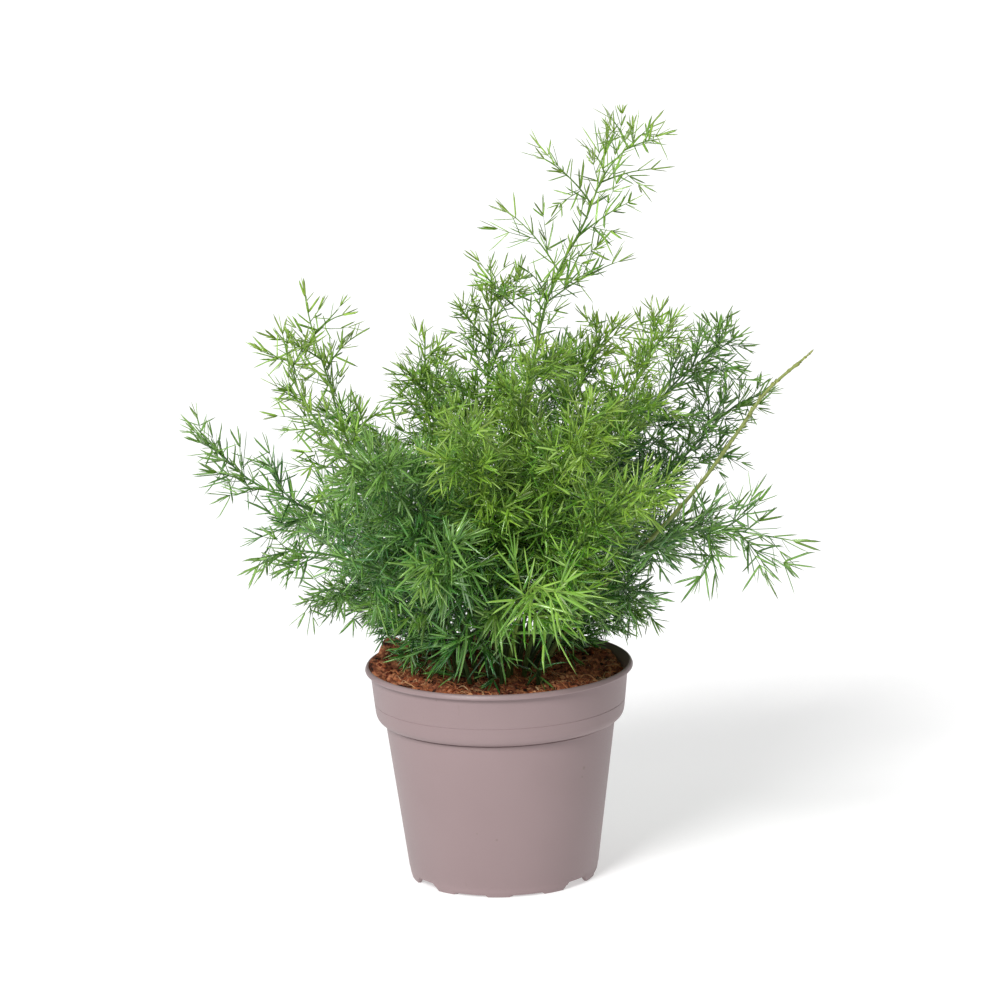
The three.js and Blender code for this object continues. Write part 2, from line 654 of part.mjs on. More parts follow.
// A three-sided pointed needle, with its root sunk in the branch.
function needleSolid({ root, heading, long }) {
  const geometry = joined(new THREE.ConeGeometry(NEEDLE_RADIUS, long, 3));
  geometry.translate(0, long / 2, 0);
  const turning = new THREE.Quaternion().setFromUnitVectors(new THREE.Vector3(0, 1, 0), heading);
  geometry.applyQuaternion(turning).translate(root.x, root.y, root.z);
  return toSolid(geometry);
}

function buildCane(cane) {
  const bodies = [pointedTube(cane.core, STEM_RADIUS, STEM_SIDES)];
  for (const { core } of cane.branches) bodies.push(pointedTube(core, BRANCH_RADIUS, 3));
  for (const needle of cane.needles) bodies.push(needleSolid(needle));
  return toMesh(cane.name, wasm.Manifold.union(bodies), LEAF[cane.kind]);
}

const plant = new THREE.Group();
plant.name = "potted_asparagus";
const grown = growBranches();
growNeedles(grown);
plant.add(buildPot());
plant.add(buildSoil(grown));
for (const cane of grown) plant.add(buildCane(cane));

export default plant;
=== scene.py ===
# %% [markdown]
# A young asparagus 'Sprengeri' in its nursery pot. The plant is a bush of thin arching canes.
# Each cane carries side branches, and each branch carries clusters of flat green needles.
# The solids of the part come in first. Every one of them is then replaced by a finer piece that
# grows from the same numbers, so the two always agree on where a cane or a branch is.

# %% Load the part and keep its box
import math
import bmesh
import bpy
import numpy as np
from mathutils import Matrix, Vector, noise


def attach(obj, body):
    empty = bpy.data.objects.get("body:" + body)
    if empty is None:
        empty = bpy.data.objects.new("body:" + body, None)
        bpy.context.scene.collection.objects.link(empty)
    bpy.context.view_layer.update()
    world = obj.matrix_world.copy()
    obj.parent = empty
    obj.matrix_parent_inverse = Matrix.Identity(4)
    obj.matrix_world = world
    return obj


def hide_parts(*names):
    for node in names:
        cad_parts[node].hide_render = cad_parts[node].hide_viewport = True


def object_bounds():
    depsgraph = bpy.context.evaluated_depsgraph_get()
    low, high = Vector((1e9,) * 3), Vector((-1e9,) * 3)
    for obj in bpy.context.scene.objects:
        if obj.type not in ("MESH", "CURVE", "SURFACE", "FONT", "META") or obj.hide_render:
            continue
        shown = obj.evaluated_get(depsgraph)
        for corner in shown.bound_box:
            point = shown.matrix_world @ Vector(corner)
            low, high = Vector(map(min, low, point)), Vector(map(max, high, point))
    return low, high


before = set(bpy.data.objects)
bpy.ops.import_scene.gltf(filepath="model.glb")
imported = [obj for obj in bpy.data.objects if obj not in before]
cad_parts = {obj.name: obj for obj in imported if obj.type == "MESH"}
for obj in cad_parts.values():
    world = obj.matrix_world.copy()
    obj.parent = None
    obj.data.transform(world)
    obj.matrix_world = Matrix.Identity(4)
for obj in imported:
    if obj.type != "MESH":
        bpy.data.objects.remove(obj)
cad_low, cad_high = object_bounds()
print("the solids span", [round(v * 1000) for v in cad_high - cad_low], "mm")

# %% [markdown]
# Blender works in metres, while a pot or a needle is easier to think of in millimetres. So the
# plant grows in millimetres, and MM turns a length into metres where a mesh is written. Colours
# are given as the hex codes that a paint program shows, and shaders want linear light, so one
# function turns the first into the second. Another adds a shader node with its settings.

# %% Small helpers
MM = 0.001
UP = np.array([0.0, 0.0, 1.0])
SIDEWAYS = np.array([1.0, 0.0, 0.0])
FULL_TURN = 2 * math.pi


def colour(code):
    """A hex code as linear light, with an opaque fourth number."""
    shares = [int(code[i:i + 2], 16) / 255 for i in (1, 3, 5)]
    linear = [s / 12.92 if s <= 0.04045 else ((s + 0.055) / 1.055) ** 2.4 for s in shares]
    return (*linear, 1.0)


def add_node(tree, kind, links=(), **settings):
    """A shader node. Settings name its properties or input sockets; links feed its inputs."""
    node = tree.nodes.new(kind)
    for name, value in settings.items():
        if hasattr(node, name):
            setattr(node, name, value)
        else:
            node.inputs[name.replace("_", " ")].default_value = value
    for socket, source in links:
        tree.links.new(source, node.inputs[socket])
    return node


def new_material(name, **settings):
    """A material with a Principled shader, and the tree and shader to build on."""
    material = bpy.data.materials.new(name)
    material.use_nodes = True
    tree = material.node_tree
    shader = tree.nodes["Principled BSDF"]
    for socket, value in settings.items():
        shader.inputs[socket.replace("_", " ")].default_value = value
    return material, tree, shader


def to_piece(name, bm, materials, replaced=()):
    """A bmesh as an object in the scene that rides on the part."""
    mesh = bpy.data.meshes.new(name)
    bm.to_mesh(mesh)
    bm.free()
    for material in materials:
        mesh.materials.append(material)
    piece = bpy.data.objects.new(name, mesh)
    bpy.context.scene.collection.objects.link(piece)
    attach(piece, "root")
    if replaced:
        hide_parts(*replaced)
    return piece


# %% [markdown]
# The stage is the plain white of a catalogue photograph. A wide pale floor fills the whole view,
# because the camera looks slightly down; it glows a little, as paper lit from below does, so that
# shadows on it stay pale. A white world lights every side softly, and three suns with wide discs
# shape the plant: the main one comes from the front left, well above the camera, a weak one from
# the left, and another weak one from behind. Suns light a big floor evenly, which lamps close to
# the pot would not.

# %% Floor, world and suns
scene = bpy.context.scene
scene.view_settings.view_transform = "Standard"

FLOOR_HALF_SIZE = 12
paper = new_material(
    "white_paper", Base_Color=colour("#D2D2D2"), Roughness=0.9, Specular_IOR_Level=0.1,
    Emission_Color=(1, 1, 1, 1), Emission_Strength=0.48)[0]
floor_bm = bmesh.new()
bmesh.ops.create_grid(floor_bm, x_segments=1, y_segments=1, size=FLOOR_HALF_SIZE)
floor_mesh = bpy.data.meshes.new("floor")
floor_bm.to_mesh(floor_mesh)
floor_bm.free()
floor_mesh.materials.append(paper)
floor = bpy.data.objects.new("floor", floor_mesh)
scene.collection.objects.link(floor)

world = bpy.data.worlds.new("studio")
world.use_nodes = True
sky = world.node_tree.nodes["Background"]
sky.inputs["Color"].default_value = (1, 1, 1, 1)
sky.inputs["Strength"].default_value = 0.27
scene.world = world


def add_sun(name, azimuth, elevation, strength, spread):
    """A sun that shines from a direction; azimuth 0 is the front and 90 the right."""
    light = bpy.data.lights.new(name, "SUN")
    light.energy = strength
    light.angle = math.radians(spread)
    sun = bpy.data.objects.new(name, light)
    a, e = math.radians(azimuth), math.radians(elevation)
    source = Vector((math.sin(a) * math.cos(e), -math.cos(a) * math.cos(e), math.sin(e)))
    sun.rotation_euler = source.to_track_quat("Z", "Y").to_euler()
    scene.collection.objects.link(sun)


add_sun("main_sun", -27, 38, 2.9, 20)
add_sun("left_sun", -95, 32, 0.32, 60)
add_sun("back_sun", 160, 55, 0.5, 50)
print("floor, world and three suns are ready")

# %% [markdown]
# The photograph was taken from far away with a long lens, a little above the rim of the pot. The
# camera stands 2.5 m away on that line of sight. It was also held slightly askew, so this camera
# rolls by a degree and a half about its line of sight. Its position is built from three
# directions: to its right, upwards in the picture, and backwards.

# %% Camera
CAMERA_DISTANCE = 2.5
CAMERA_TILT = math.radians(12.66)
CAMERA_ROLL = math.radians(1.45)
AIM_HEIGHT = 0.17163
AIM_SIDEWAYS = 0.0023
LENS = 202.5

backwards = Vector((0, -math.cos(CAMERA_TILT), math.sin(CAMERA_TILT)))
level_up = Vector((0, math.sin(CAMERA_TILT), math.cos(CAMERA_TILT)))
level_right = Vector((1, 0, 0))
right = level_right * math.cos(CAMERA_ROLL) - level_up * math.sin(CAMERA_ROLL)
upwards = level_right * math.sin(CAMERA_ROLL) + level_up * math.cos(CAMERA_ROLL)
camera_data = bpy.data.cameras.new("camera")
camera_data.lens = LENS
camera = bpy.data.objects.new("camera", camera_data)
place = Vector((AIM_SIDEWAYS, 0, AIM_HEIGHT)) + backwards * CAMERA_DISTANCE
facing = Matrix((right, upwards, backwards)).transposed().to_4x4()
camera.matrix_world = Matrix.Translation(place) @ facing
scene.collection.objects.link(camera)
scene.camera = camera
print("camera at", [round(v, 3) for v in place])

# %% [markdown]
# The pot is injection moulded: a thin wall, a collar that is wider than the body, and a rolled
# rim. Turning one section round the axis gives all of it, as a lathe would. The section is drawn
# as a chain of corners, and a vertex bevel rounds each corner by its own radius before the spin.
# This is cheaper than bevelling rings afterwards, and keeps the corners even all the way round.

# %% Section of the pot, from the middle of its underside to the middle of its floor
POT_TURNS = 240
BASE_TURN = math.radians(-3)
POT_SECTION = [  # radius, height, rounding, all in millimetres
    (14.2, 0, 0.3), (15.8, 3.6, 0.4), (39.9, 3.6, 0.3), (39.9, 0.8, 0.25), (41.4, 0.8, 0.3),
    (42.05, 2.2, 0.4), (42.45, 5.0, 0), (42.62, 5.25, 0), (51.45, 71.7, 0), (51.1, 72.0, 0),
    (51.9, 72.3, 0.15), (53.6, 72.8, 0.5), (54.95, 74.0, 0.8), (55.65, 75.9, 0.8),
    (56.22, 80.95, 0), (56.08, 81.1, 0), (56.25, 81.25, 0), (57.65, 94.7, 0), (57.3, 95.05, 0),
    (59.75, 95.2, 0.2), (60, 95.7, 0.3), (59.2, 97.5, 0.7), (58.4, 97.5, 0.4),
    (56.5, 93.2, 0.8), (54.45, 76.6, 1.0), (52.7, 73.9, 0.8), (50.35, 72.6, 0.8),
    (41.1, 5, 0.6), (14.6, 5, 0.3), (13.2, 1.4, 0.3),
]


def rounded_section(corners):
    """A chain of corners as wire in the XZ plane, each rounded by its own radius."""
    bm = bmesh.new()
    chain = [bm.verts.new((r * MM, 0, z * MM)) for r, z, _ in corners]
    for a, b in zip(chain, chain[1:]):
        bm.edges.new((a, b))
    for corner, (_, _, rounding) in zip(chain, corners):
        if rounding:
            bmesh.ops.bevel(bm, geom=[corner], offset=rounding * MM, segments=3, profile=0.5,
                            affect="VERTICES", material=-1)
    return bm


def spin_round(bm, turns):
    """Everything in the bmesh, turned once round the Z axis, with its seam closed."""
    bmesh.ops.spin(bm, geom=bm.verts[:] + bm.edges[:], axis=(0, 0, 1), cent=(0, 0, 0),
                   angle=FULL_TURN, steps=turns, use_merge=True)
    bmesh.ops.remove_doubles(bm, verts=bm.verts, dist=1e-6)


pot_bm = rounded_section(POT_SECTION)
spin_round(pot_bm, POT_TURNS)
ends = [e for e in pot_bm.edges if e.is_boundary]
bmesh.ops.holes_fill(pot_bm, edges=ends, sides=0)
bmesh.ops.recalc_face_normals(pot_bm, faces=pot_bm.faces)
print("the turned pot has", len(pot_bm.faces), "faces")

# %% [markdown]
# The foot of the wall isn't a plain ring. It stands on ten small pads, and four wide notches let
# water run out from under the pot. The foot's lowest vertices are simply moved: down to the floor
# in a pad, and up in a notch, with a sloping flank on each side.

# %% Pads and notches in the foot
PAD_HALF = math.radians(7.5)
PAD_SPACING = math.radians(36)
PAD_HEIGHT = 0.8
FOOT_INNER, FOOT_OUTER, FOOT_RADIUS = 39.7, 42.4, 41.4
NOTCH_PLACES = [math.radians(a) for a in (-126, -54, 54, 126)]
NOTCH_TOP, NOTCH_HALF_TOP, NOTCH_HALF_FOOT = 3.3, 5.6, 7.6


def foot_height(angle, height):
    """The new height of a point of the foot, from its direction and its old height."""
    from_front = (angle + math.pi / 2 - BASE_TURN) % FULL_TURN
    to_pad = abs((from_front + PAD_SPACING / 2) % PAD_SPACING - PAD_SPACING / 2)
    lowest = 0 if to_pad < PAD_HALF else PAD_HEIGHT
    for notch in NOTCH_PLACES:
        away = abs((from_front - notch + math.pi) % FULL_TURN - math.pi) * FOOT_RADIUS
        if away < NOTCH_HALF_FOOT:
            slope = (NOTCH_HALF_FOOT - away) / (NOTCH_HALF_FOOT - NOTCH_HALF_TOP)
            lowest = PAD_HEIGHT + (NOTCH_TOP - PAD_HEIGHT) * min(1, slope)
    if lowest > PAD_HEIGHT:
        return max(height, lowest)
    return height - (PAD_HEIGHT - lowest) * (height < PAD_HEIGHT + 0.3)


for vert in pot_bm.verts:
    radius = math.hypot(vert.co.x, vert.co.y) / MM
    if FOOT_INNER < radius < FOOT_OUTER and vert.co.z / MM < NOTCH_TOP:
        turn = math.atan2(vert.co.y, vert.co.x)
        vert.co.z = foot_height(turn, vert.co.z / MM) * MM
print("the foot stands on pads and has", len(NOTCH_PLACES), "notches")

# %% [markdown]
# The drain holes go through the floor of the pot. A Boolean modifier cuts them with six short
# pegs, which is simpler than fitting round holes into a grid of faces. The modifier is applied at
# once, so the piece keeps no hidden pegs.

# %% Drain holes
DRAIN_COUNT, DRAIN_RADIUS, DRAIN_CIRCLE = 6, 3.0, 27.0

pegs_bm = bmesh.new()
for i in range(DRAIN_COUNT):
    turn = i * FULL_TURN / DRAIN_COUNT
    middle = (DRAIN_CIRCLE * MM * math.cos(turn), DRAIN_CIRCLE * MM * math.sin(turn), 4.3 * MM)
    bmesh.ops.create_cone(pegs_bm, cap_ends=True, segments=20, radius1=DRAIN_RADIUS * MM,
                          radius2=DRAIN_RADIUS * MM, depth=4 * MM,
                          matrix=Matrix.Translation(middle))
pegs_mesh = bpy.data.meshes.new("pegs")
pegs_bm.to_mesh(pegs_mesh)
pegs_bm.free()
pegs = bpy.data.objects.new("pegs", pegs_mesh)
scene.collection.objects.link(pegs)

# %% [markdown]
# The pot's plastic is polypropylene, moulded and slightly satin. The tool that shaped it was
# lightly sanded, so its sheen is broken up by a grain of about half a millimetre. Handling has
# left a few small marks: thin darker rubs and specks, and five spots on the front, each a
# distance to a point. The colour drifts by a few percent where the plastic cooled unevenly.

# %% Material of the pot
plastic, tree, shader = new_material("moulded_polypropylene", Roughness=0.46, IOR=1.49)
coords = add_node(tree, "ShaderNodeTexCoord").outputs["Object"]
drift = add_node(tree, "ShaderNodeTexNoise", [("Vector", coords)], Scale=28.0, Detail=2.0)
tint = add_node(tree, "ShaderNodeMix", [("Factor", drift.outputs["Fac"])], data_type="RGBA")
tint.inputs["A"].default_value = colour("#8D797A")
tint.inputs["B"].default_value = colour("#958182")
smudge_place = add_node(tree, "ShaderNodeMapping", [("Vector", coords)])
smudge_place.inputs["Scale"].default_value = (1.0, 1.0, 0.35)
smudge = add_node(tree, "ShaderNodeTexNoise", [("Vector", smudge_place.outputs["Vector"])],
                  Scale=210.0, Detail=4.0, Roughness=0.6)
few = add_node(tree, "ShaderNodeMapRange", [("Value", smudge.outputs["Fac"])],
               From_Min=0.7, From_Max=0.8, To_Min=0.0, To_Max=0.35)
SPOTS = [  # x, y, z and radius, all in millimetres
    (-27.9, -50.3, 93.4, 0.5), (36.5, -33.3, 56.5, 1.1), (35.6, -33.5, 52.5, 0.7),
    (-2.9, -45.5, 27.8, 0.7), (-11.6, -44.5, 30.6, 0.5),
]
mark_share = few.outputs["Result"]
for x, y, z, radius in SPOTS:
    away = add_node(tree, "ShaderNodeVectorMath", [(0, coords)], operation="DISTANCE")
    away.inputs[1].default_value = (x * MM, y * MM, z * MM)
    spot = add_node(tree, "ShaderNodeMapRange", [("Value", away.outputs["Value"])],
                    From_Min=0.4 * radius * MM, From_Max=radius * MM, To_Min=0.6, To_Max=0.0)
    both = add_node(tree, "ShaderNodeMath", [(0, mark_share), (1, spot.outputs["Result"])],
                    operation="MAXIMUM")
    mark_share = both.outputs["Value"]
marked = add_node(tree, "ShaderNodeMix", [("Factor", mark_share), ("A", tint.outputs["Result"])],
                  data_type="RGBA")
marked.inputs["B"].default_value = colour("#7E6C68")
tree.links.new(marked.outputs["Result"], shader.inputs["Base Color"])
grain = add_node(tree, "ShaderNodeTexNoise", [("Vector", coords)], Scale=1900.0, Detail=2.0)
sheen = add_node(tree, "ShaderNodeMapRange", [("Value", grain.outputs["Fac"])],
                 From_Min=0.3, From_Max=0.7, To_Min=0.4, To_Max=0.52)
tree.links.new(sheen.outputs["Result"], shader.inputs["Roughness"])
relief = add_node(tree, "ShaderNodeBump", [("Height", grain.outputs["Fac"])],
                  Strength=0.12, Distance=0.0002)
tree.links.new(relief.outputs["Normal"], shader.inputs["Normal"])

for face in pot_bm.faces:
    face.smooth = len(face.verts) < 5
pot = to_piece("nursery_pot", pot_bm, [plastic], ["pot"])
cut = pot.modifiers.new("drains", "BOOLEAN")
cut.operation = "DIFFERENCE"
cut.object = pegs
cut.solver = "EXACT"
graph = bpy.context.evaluated_depsgraph_get()
drained = bpy.data.meshes.new_from_object(pot.evaluated_get(graph))
pot.modifiers.clear()
pot.data = drained
bpy.data.objects.remove(pegs)
pot.data.set_sharp_from_angle(angle=math.radians(32))
print("the pot has", len(pot.data.polygons), "faces")

# %% [markdown]
# The soil is a mix of peat and coir, the fibre of coconut husks. It is a loose, crumbly heap, so
# its surface is a fine mesh whose points are lifted by the same rule as the solid. Two low banks
# at the wall and two sizes of crumb come on top. Under the surface it simply fills the pot.

# %% The soil's surface
SOIL_LEVEL, SOIL_EDGE = 94.2, 56.5
WALL_BEND, BEND_RADIUS, WIDEST_EDGE = 93.2, 56.1, 57.8
LEAN_BELOW, LEAN_ABOVE = 0.1235, 0.44  # how fast the wall widens below and above its bend
COARSE_CRUMB, FINE_CRUMB = 2.6, 0.8


def soil_height(x, y):
    """Height of the soil in millimetres. x and y are numbers or arrays."""
    ripple = 0.9 * np.sin(0.23 * x + 1) * np.cos(0.19 * y) + 0.6 * np.sin(0.41 * y - 0.17 * x)
    heap = 6.5 * np.exp(-((x + 50) ** 2 + (y - 28) ** 2) / 150)
    mound = 2 * np.exp(-(x * x + y * y) / 700)
    dip = 5.5 * np.exp(-((x - 54) ** 2 + (y + 4) ** 2) / 300)
    return SOIL_LEVEL - 0.03 * x + ripple + heap + mound - dip


def edge_radius(height):
    """The soil's edge leans outwards with the wall that holds it."""
    lean = LEAN_ABOVE if height > WALL_BEND else LEAN_BELOW
    return min(WIDEST_EDGE, BEND_RADIUS + lean * (height - WALL_BEND))


def crumble(x, y):
    """How far banks and crumbs stand above or below the plain surface, in millimetres."""
    bank = 2.6 * math.exp(-((x + 58) ** 2 + (y + 2) ** 2) / 300)
    bank += 2.4 * math.exp(-((x - 50) ** 2 + (y - 20) ** 2) / 500)
    coarse = noise.fractal(Vector((x / COARSE_CRUMB, y / COARSE_CRUMB, 0.4)), 0.8, 2.1, 4)
    fine = noise.noise(Vector((x / FINE_CRUMB, y / FINE_CRUMB, 7.3)))
    return bank + 1.5 * coarse + 0.45 * fine


SOIL_SECTION = [(12.9, 1.7), (14.3, 5.3), (40.8, 5.3), (49.85, 72.4), (52.35, 74.3), (54, 76.9),
                (55, 84), (SOIL_EDGE, SOIL_LEVEL)]
SOIL_RINGS, SOIL_TURNS = 72, 200
soil_bm = bmesh.new()
inwards = [(SOIL_EDGE * (1 - k / SOIL_RINGS), SOIL_LEVEL) for k in range(1, SOIL_RINGS)]
chain = [soil_bm.verts.new((r * MM, 0, z * MM)) for r, z in SOIL_SECTION + inwards]
for a, b in zip(chain, chain[1:]):
    soil_bm.edges.new((a, b))
spin_round(soil_bm, SOIL_TURNS)
bmesh.ops.holes_fill(soil_bm, edges=[e for e in soil_bm.edges if e.is_boundary], sides=0)
bmesh.ops.recalc_face_normals(soil_bm, faces=soil_bm.faces)
for vert in soil_bm.verts:
    if vert.co.z > (SOIL_LEVEL - 0.01) * MM:
        x, y = vert.co.x / MM, vert.co.y / MM
        height = float(soil_height(x, y)) + crumble(x, y)
        stretch = edge_radius(height) / SOIL_EDGE if math.hypot(x, y) > SOIL_EDGE - 0.1 else 1
        vert.co = Vector((x * stretch, y * stretch, height)) * MM
for face in soil_bm.faces:
    face.smooth = True
print("the soil has", len(soil_bm.faces), "faces")

# %% [markdown]
# Loose crumbs and threads lie on the soil. A crumb is a squashed icosphere of twenty faces, and a
# thread of coir is a three-sided tube bent to a random curve. Hundreds are needed, so each has
# only a few faces. They are scattered with a seeded random generator, which gives the same soil
# each time that the script runs.

# %% Crumbs and threads
CRUMB_COUNT, THREAD_COUNT = 1900, 760
SMALLEST_CRUMB, CRUMB_GROWTH = 0.35, 1.25
THINNEST_THREAD, THREAD_GROWTH = 0.06, 0.26
scatter = np.random.default_rng(7)


def surface_point(reach):
    """A random place on the soil, within a radius, in millimetres."""
    radius, turn = reach * math.sqrt(scatter.random()), scatter.uniform(0, FULL_TURN)
    x, y = radius * math.cos(turn), radius * math.sin(turn)
    return np.array([x, y, float(soil_height(x, y) + crumble(x, y))])


def add_copies(bm, template, count):
    """That many copies of a small bmesh's shape, one after another."""
    one = bpy.data.meshes.new("one")
    template.to_mesh(one)
    for _ in range(count):
        bm.from_mesh(one, face_normals=False, vertex_normals=False)
    bpy.data.meshes.remove(one)


def bar(sides, rings):
    """A tube of unit length and radius along Z, cut across into rings."""
    bm = bmesh.new()
    bmesh.ops.create_cone(bm, cap_ends=True, segments=sides, radius1=1, radius2=1, depth=1)
    long_edges = [e for e in bm.edges if abs(e.verts[0].co.z - e.verts[1].co.z) > 0.5]
    bmesh.ops.subdivide_edges(bm, edges=long_edges, cuts=rings - 1)
    bmesh.ops.translate(bm, verts=bm.verts, vec=(0, 0, 0.5))
    return bm


def move_copy(bm, index, shape):
    """Put one copy's vertices at these places, in millimetres."""
    for vert, point in zip(bm.verts[index * len(shape):(index + 1) * len(shape)], shape):
        vert.co = point * MM


crumb = bmesh.new()
bmesh.ops.create_icosphere(crumb, subdivisions=1, radius=1)
crumb_shape = np.array([v.co for v in crumb.verts])
crumbs_bm = bmesh.new()
add_copies(crumbs_bm, crumb, CRUMB_COUNT)
crumbs_bm.verts.ensure_lookup_table()
crumb_tones = []
for i in range(CRUMB_COUNT):
    size = SMALLEST_CRUMB + CRUMB_GROWTH * scatter.random() ** 2.2
    size = size * np.array([1.0, scatter.uniform(0.45, 0.9), scatter.uniform(0.45, 0.7)])
    middle = surface_point(SOIL_EDGE - 1.2)
    spin = Matrix.Rotation(scatter.uniform(0, FULL_TURN), 3, "Z")
    spin = spin @ Matrix.Rotation(scatter.uniform(-0.8, 0.8), 3, "X")
    dents = 1 + scatter.uniform(-0.35, 0.35, len(crumb_shape))
    shape = (crumb_shape * dents[:, None] * size) @ np.array(spin).T + middle
    move_copy(crumbs_bm, i, shape)
    crumb_tones += [scatter.random()] * len(shape)

THREAD_RINGS = 6
thread = bar(3, THREAD_RINGS)
thread_shape = np.array([v.co for v in thread.verts])
threads_bm = bmesh.new()
add_copies(threads_bm, thread, THREAD_COUNT)
threads_bm.verts.ensure_lookup_table()
thread_tones = []
for i in range(THREAD_COUNT):
    start = surface_point(SOIL_EDGE - 3.5)
    turn, long = scatter.uniform(0, FULL_TURN), scatter.uniform(2, 9)
    bend, arch = scatter.uniform(-1.6, 1.6), scatter.uniform(0.3, 1.6)
    thick = THINNEST_THREAD + THREAD_GROWTH * scatter.random() ** 2.5
    points = []
    for k in range(THREAD_RINGS + 1):
        t = k / THREAD_RINGS
        x = start[0] + long * (t - 0.5) * math.cos(turn + bend * t)
        y = start[1] + long * (t - 0.5) * math.sin(turn + bend * t)
        inside = min(1, (SOIL_EDGE - 1) / max(1e-6, math.hypot(x, y)))
        x, y = x * inside, y * inside
        lift = 0.25 + arch * math.sin(math.pi * t)
        points.append((x, y, float(soil_height(x, y)) + max(0, crumble(x, y)) * 0.6 + lift))
    rings = np.rint(thread_shape[:, 2] * THREAD_RINGS).astype(int)
    shape = np.array(points)[rings]
    shape[:, 0] += thread_shape[:, 0] * thick
    shape[:, 1] += thread_shape[:, 1] * thick
    shape[:, 2] += (thread_shape[:, 0] + thread_shape[:, 1]) * thick * 0.5
    move_copy(threads_bm, i, shape)
    thread_tones += [scatter.random()] * len(shape)
print(CRUMB_COUNT, "crumbs and", THREAD_COUNT, "threads lie on the soil")

# %% [markdown]
# Damp coir is a warm red-brown, and peat is nearly black, so the soil's colour mixes the two in
# patches of a few millimetres, with a finer fleck on top. It hardly shines. Crumbs and threads
# take their colour from an attribute, called tone, that was drawn once for each of them: most are
# brown, and a few are pale husk.

# %% Materials of the soil
peat, tree, shader = new_material("damp_peat_and_coir", Roughness=0.92, Specular_IOR_Level=0.25)
coords = add_node(tree, "ShaderNodeTexCoord").outputs["Object"]
patch = add_node(tree, "ShaderNodeTexNoise", [("Vector", coords)],
                 Scale=240.0, Detail=5.0, Roughness=0.7)
ramp = add_node(tree, "ShaderNodeValToRGB", [("Fac", patch.outputs["Fac"])])
ramp.color_ramp.elements[0].position = 0.36
ramp.color_ramp.elements[0].color = colour("#22120E")
ramp.color_ramp.elements[1].position = 0.64
ramp.color_ramp.elements[1].color = colour("#D88E66")
ramp.color_ramp.elements.new(0.5).color = colour("#96563C")
tree.links.new(ramp.outputs["Color"], shader.inputs["Base Color"])
fleck = add_node(tree, "ShaderNodeTexNoise", [("Vector", coords)], Scale=1300.0, Detail=3.0)
relief = add_node(tree, "ShaderNodeBump", [("Height", fleck.outputs["Fac"])],
                  Strength=0.7, Distance=0.0005)
tree.links.new(relief.outputs["Normal"], shader.inputs["Normal"])


def toned_material(name, stops, roughness, specular=0.5):
    """A material whose colour runs through a few stops by the attribute tone."""
    material, tree, shader = new_material(name, Roughness=roughness, Specular_IOR_Level=specular)
    tone = add_node(tree, "ShaderNodeAttribute", attribute_name="tone")
    ramp = add_node(tree, "ShaderNodeValToRGB", [("Fac", tone.outputs["Fac"])])
    ramp.color_ramp.elements[0].color = colour(stops[0])
    ramp.color_ramp.elements[1].color = colour(stops[-1])
    for i, code in enumerate(stops[1:-1], 1):
        ramp.color_ramp.elements.new(i / (len(stops) - 1)).color = colour(code)
    coords = add_node(tree, "ShaderNodeTexCoord").outputs["Object"]
    mottle = add_node(tree, "ShaderNodeTexNoise", [("Vector", coords)], Scale=900.0, Detail=3.0)
    shade = add_node(tree, "ShaderNodeMapRange", [("Value", mottle.outputs["Fac"])],
                     From_Min=0.3, From_Max=0.7, To_Min=0.72, To_Max=1.15)
    mixed = add_node(tree, "ShaderNodeVectorMath",
                     [(0, ramp.outputs["Color"]), (1, shade.outputs["Result"])],
                     operation="MULTIPLY")
    tree.links.new(mixed.outputs["Vector"], shader.inputs["Base Color"])
    return material


husk = toned_material("coir_crumb", ["#1A0D09", "#743420", "#B0603A", "#DCA478"], 0.9, 0.25)
fibre = toned_material("coir_fibre", ["#6A3420", "#A85A34", "#C8804E", "#DEBC90"], 0.7, 0.35)


def set_attribute(mesh, name, values):
    """One number for each vertex, stored in the mesh for its material to read."""
    store = mesh.attributes.new(name, "FLOAT", "POINT").data
    store.foreach_set("value", np.asarray(values, np.float32))


to_piece("soil_surface", soil_bm, [peat], ["soil"])
crumbs = to_piece("soil_crumbs", crumbs_bm, [husk])
threads = to_piece("coir_threads", threads_bm, [fibre])
set_attribute(crumbs.data, "tone", crumb_tones)
set_attribute(threads.data, "tone", thread_tones)
print("soil, crumbs and threads are in the pot")

# %% [markdown]
# Now the plant. Its habit follows one growth rule, with the same numbers as the solids: a stem
# passes smoothly through a few given points, and side branches leave it one after the
# other, each turned by 137.5 degrees from the last, as in many real plants. The chance in the
# rule comes from a small generator that gives the same draws in any program.

# %% Draws and paths
GOLDEN_TURN = math.radians(137.5)


class Draws:
    """Numbers that look random and are the same every time."""

    def __init__(self, seed):
        self.state = seed

    def next(self):
        self.state = (self.state * 1664525 + 1013904223) % 4294967296
        return self.state / 4294967296

    def between(self, low, high):
        return low + (high - low) * self.next()


def unit(vector):
    return vector / math.sqrt(vector @ vector)


class Path:
    """A line through points, measured along its length."""

    def __init__(self, points):
        self.points = np.array(points)
        steps = np.sqrt((np.diff(self.points, axis=0) ** 2).sum(axis=1))
        self.marks = np.concatenate([[0.0], np.cumsum(steps)])
        self.length = float(self.marks[-1])

    def at(self, distance):
        """The point at a distance, and the direction of the line there."""
        place = min(max(distance, 0), self.length)
        i = int(np.searchsorted(self.marks[1:-1], place))
        share = (place - self.marks[i]) / (self.marks[i + 1] - self.marks[i])
        step = self.points[i + 1] - self.points[i]
        return self.points[i] + step * share, unit(step)

    def spread(self, count):
        """That many points, evenly along the line."""
        places = np.linspace(0, self.length, count)
        return np.stack([np.interp(places, self.marks, axis) for axis in self.points.T], axis=1)

    def samples(self, gap):
        return self.spread(max(2, int(self.length / gap) + 1))


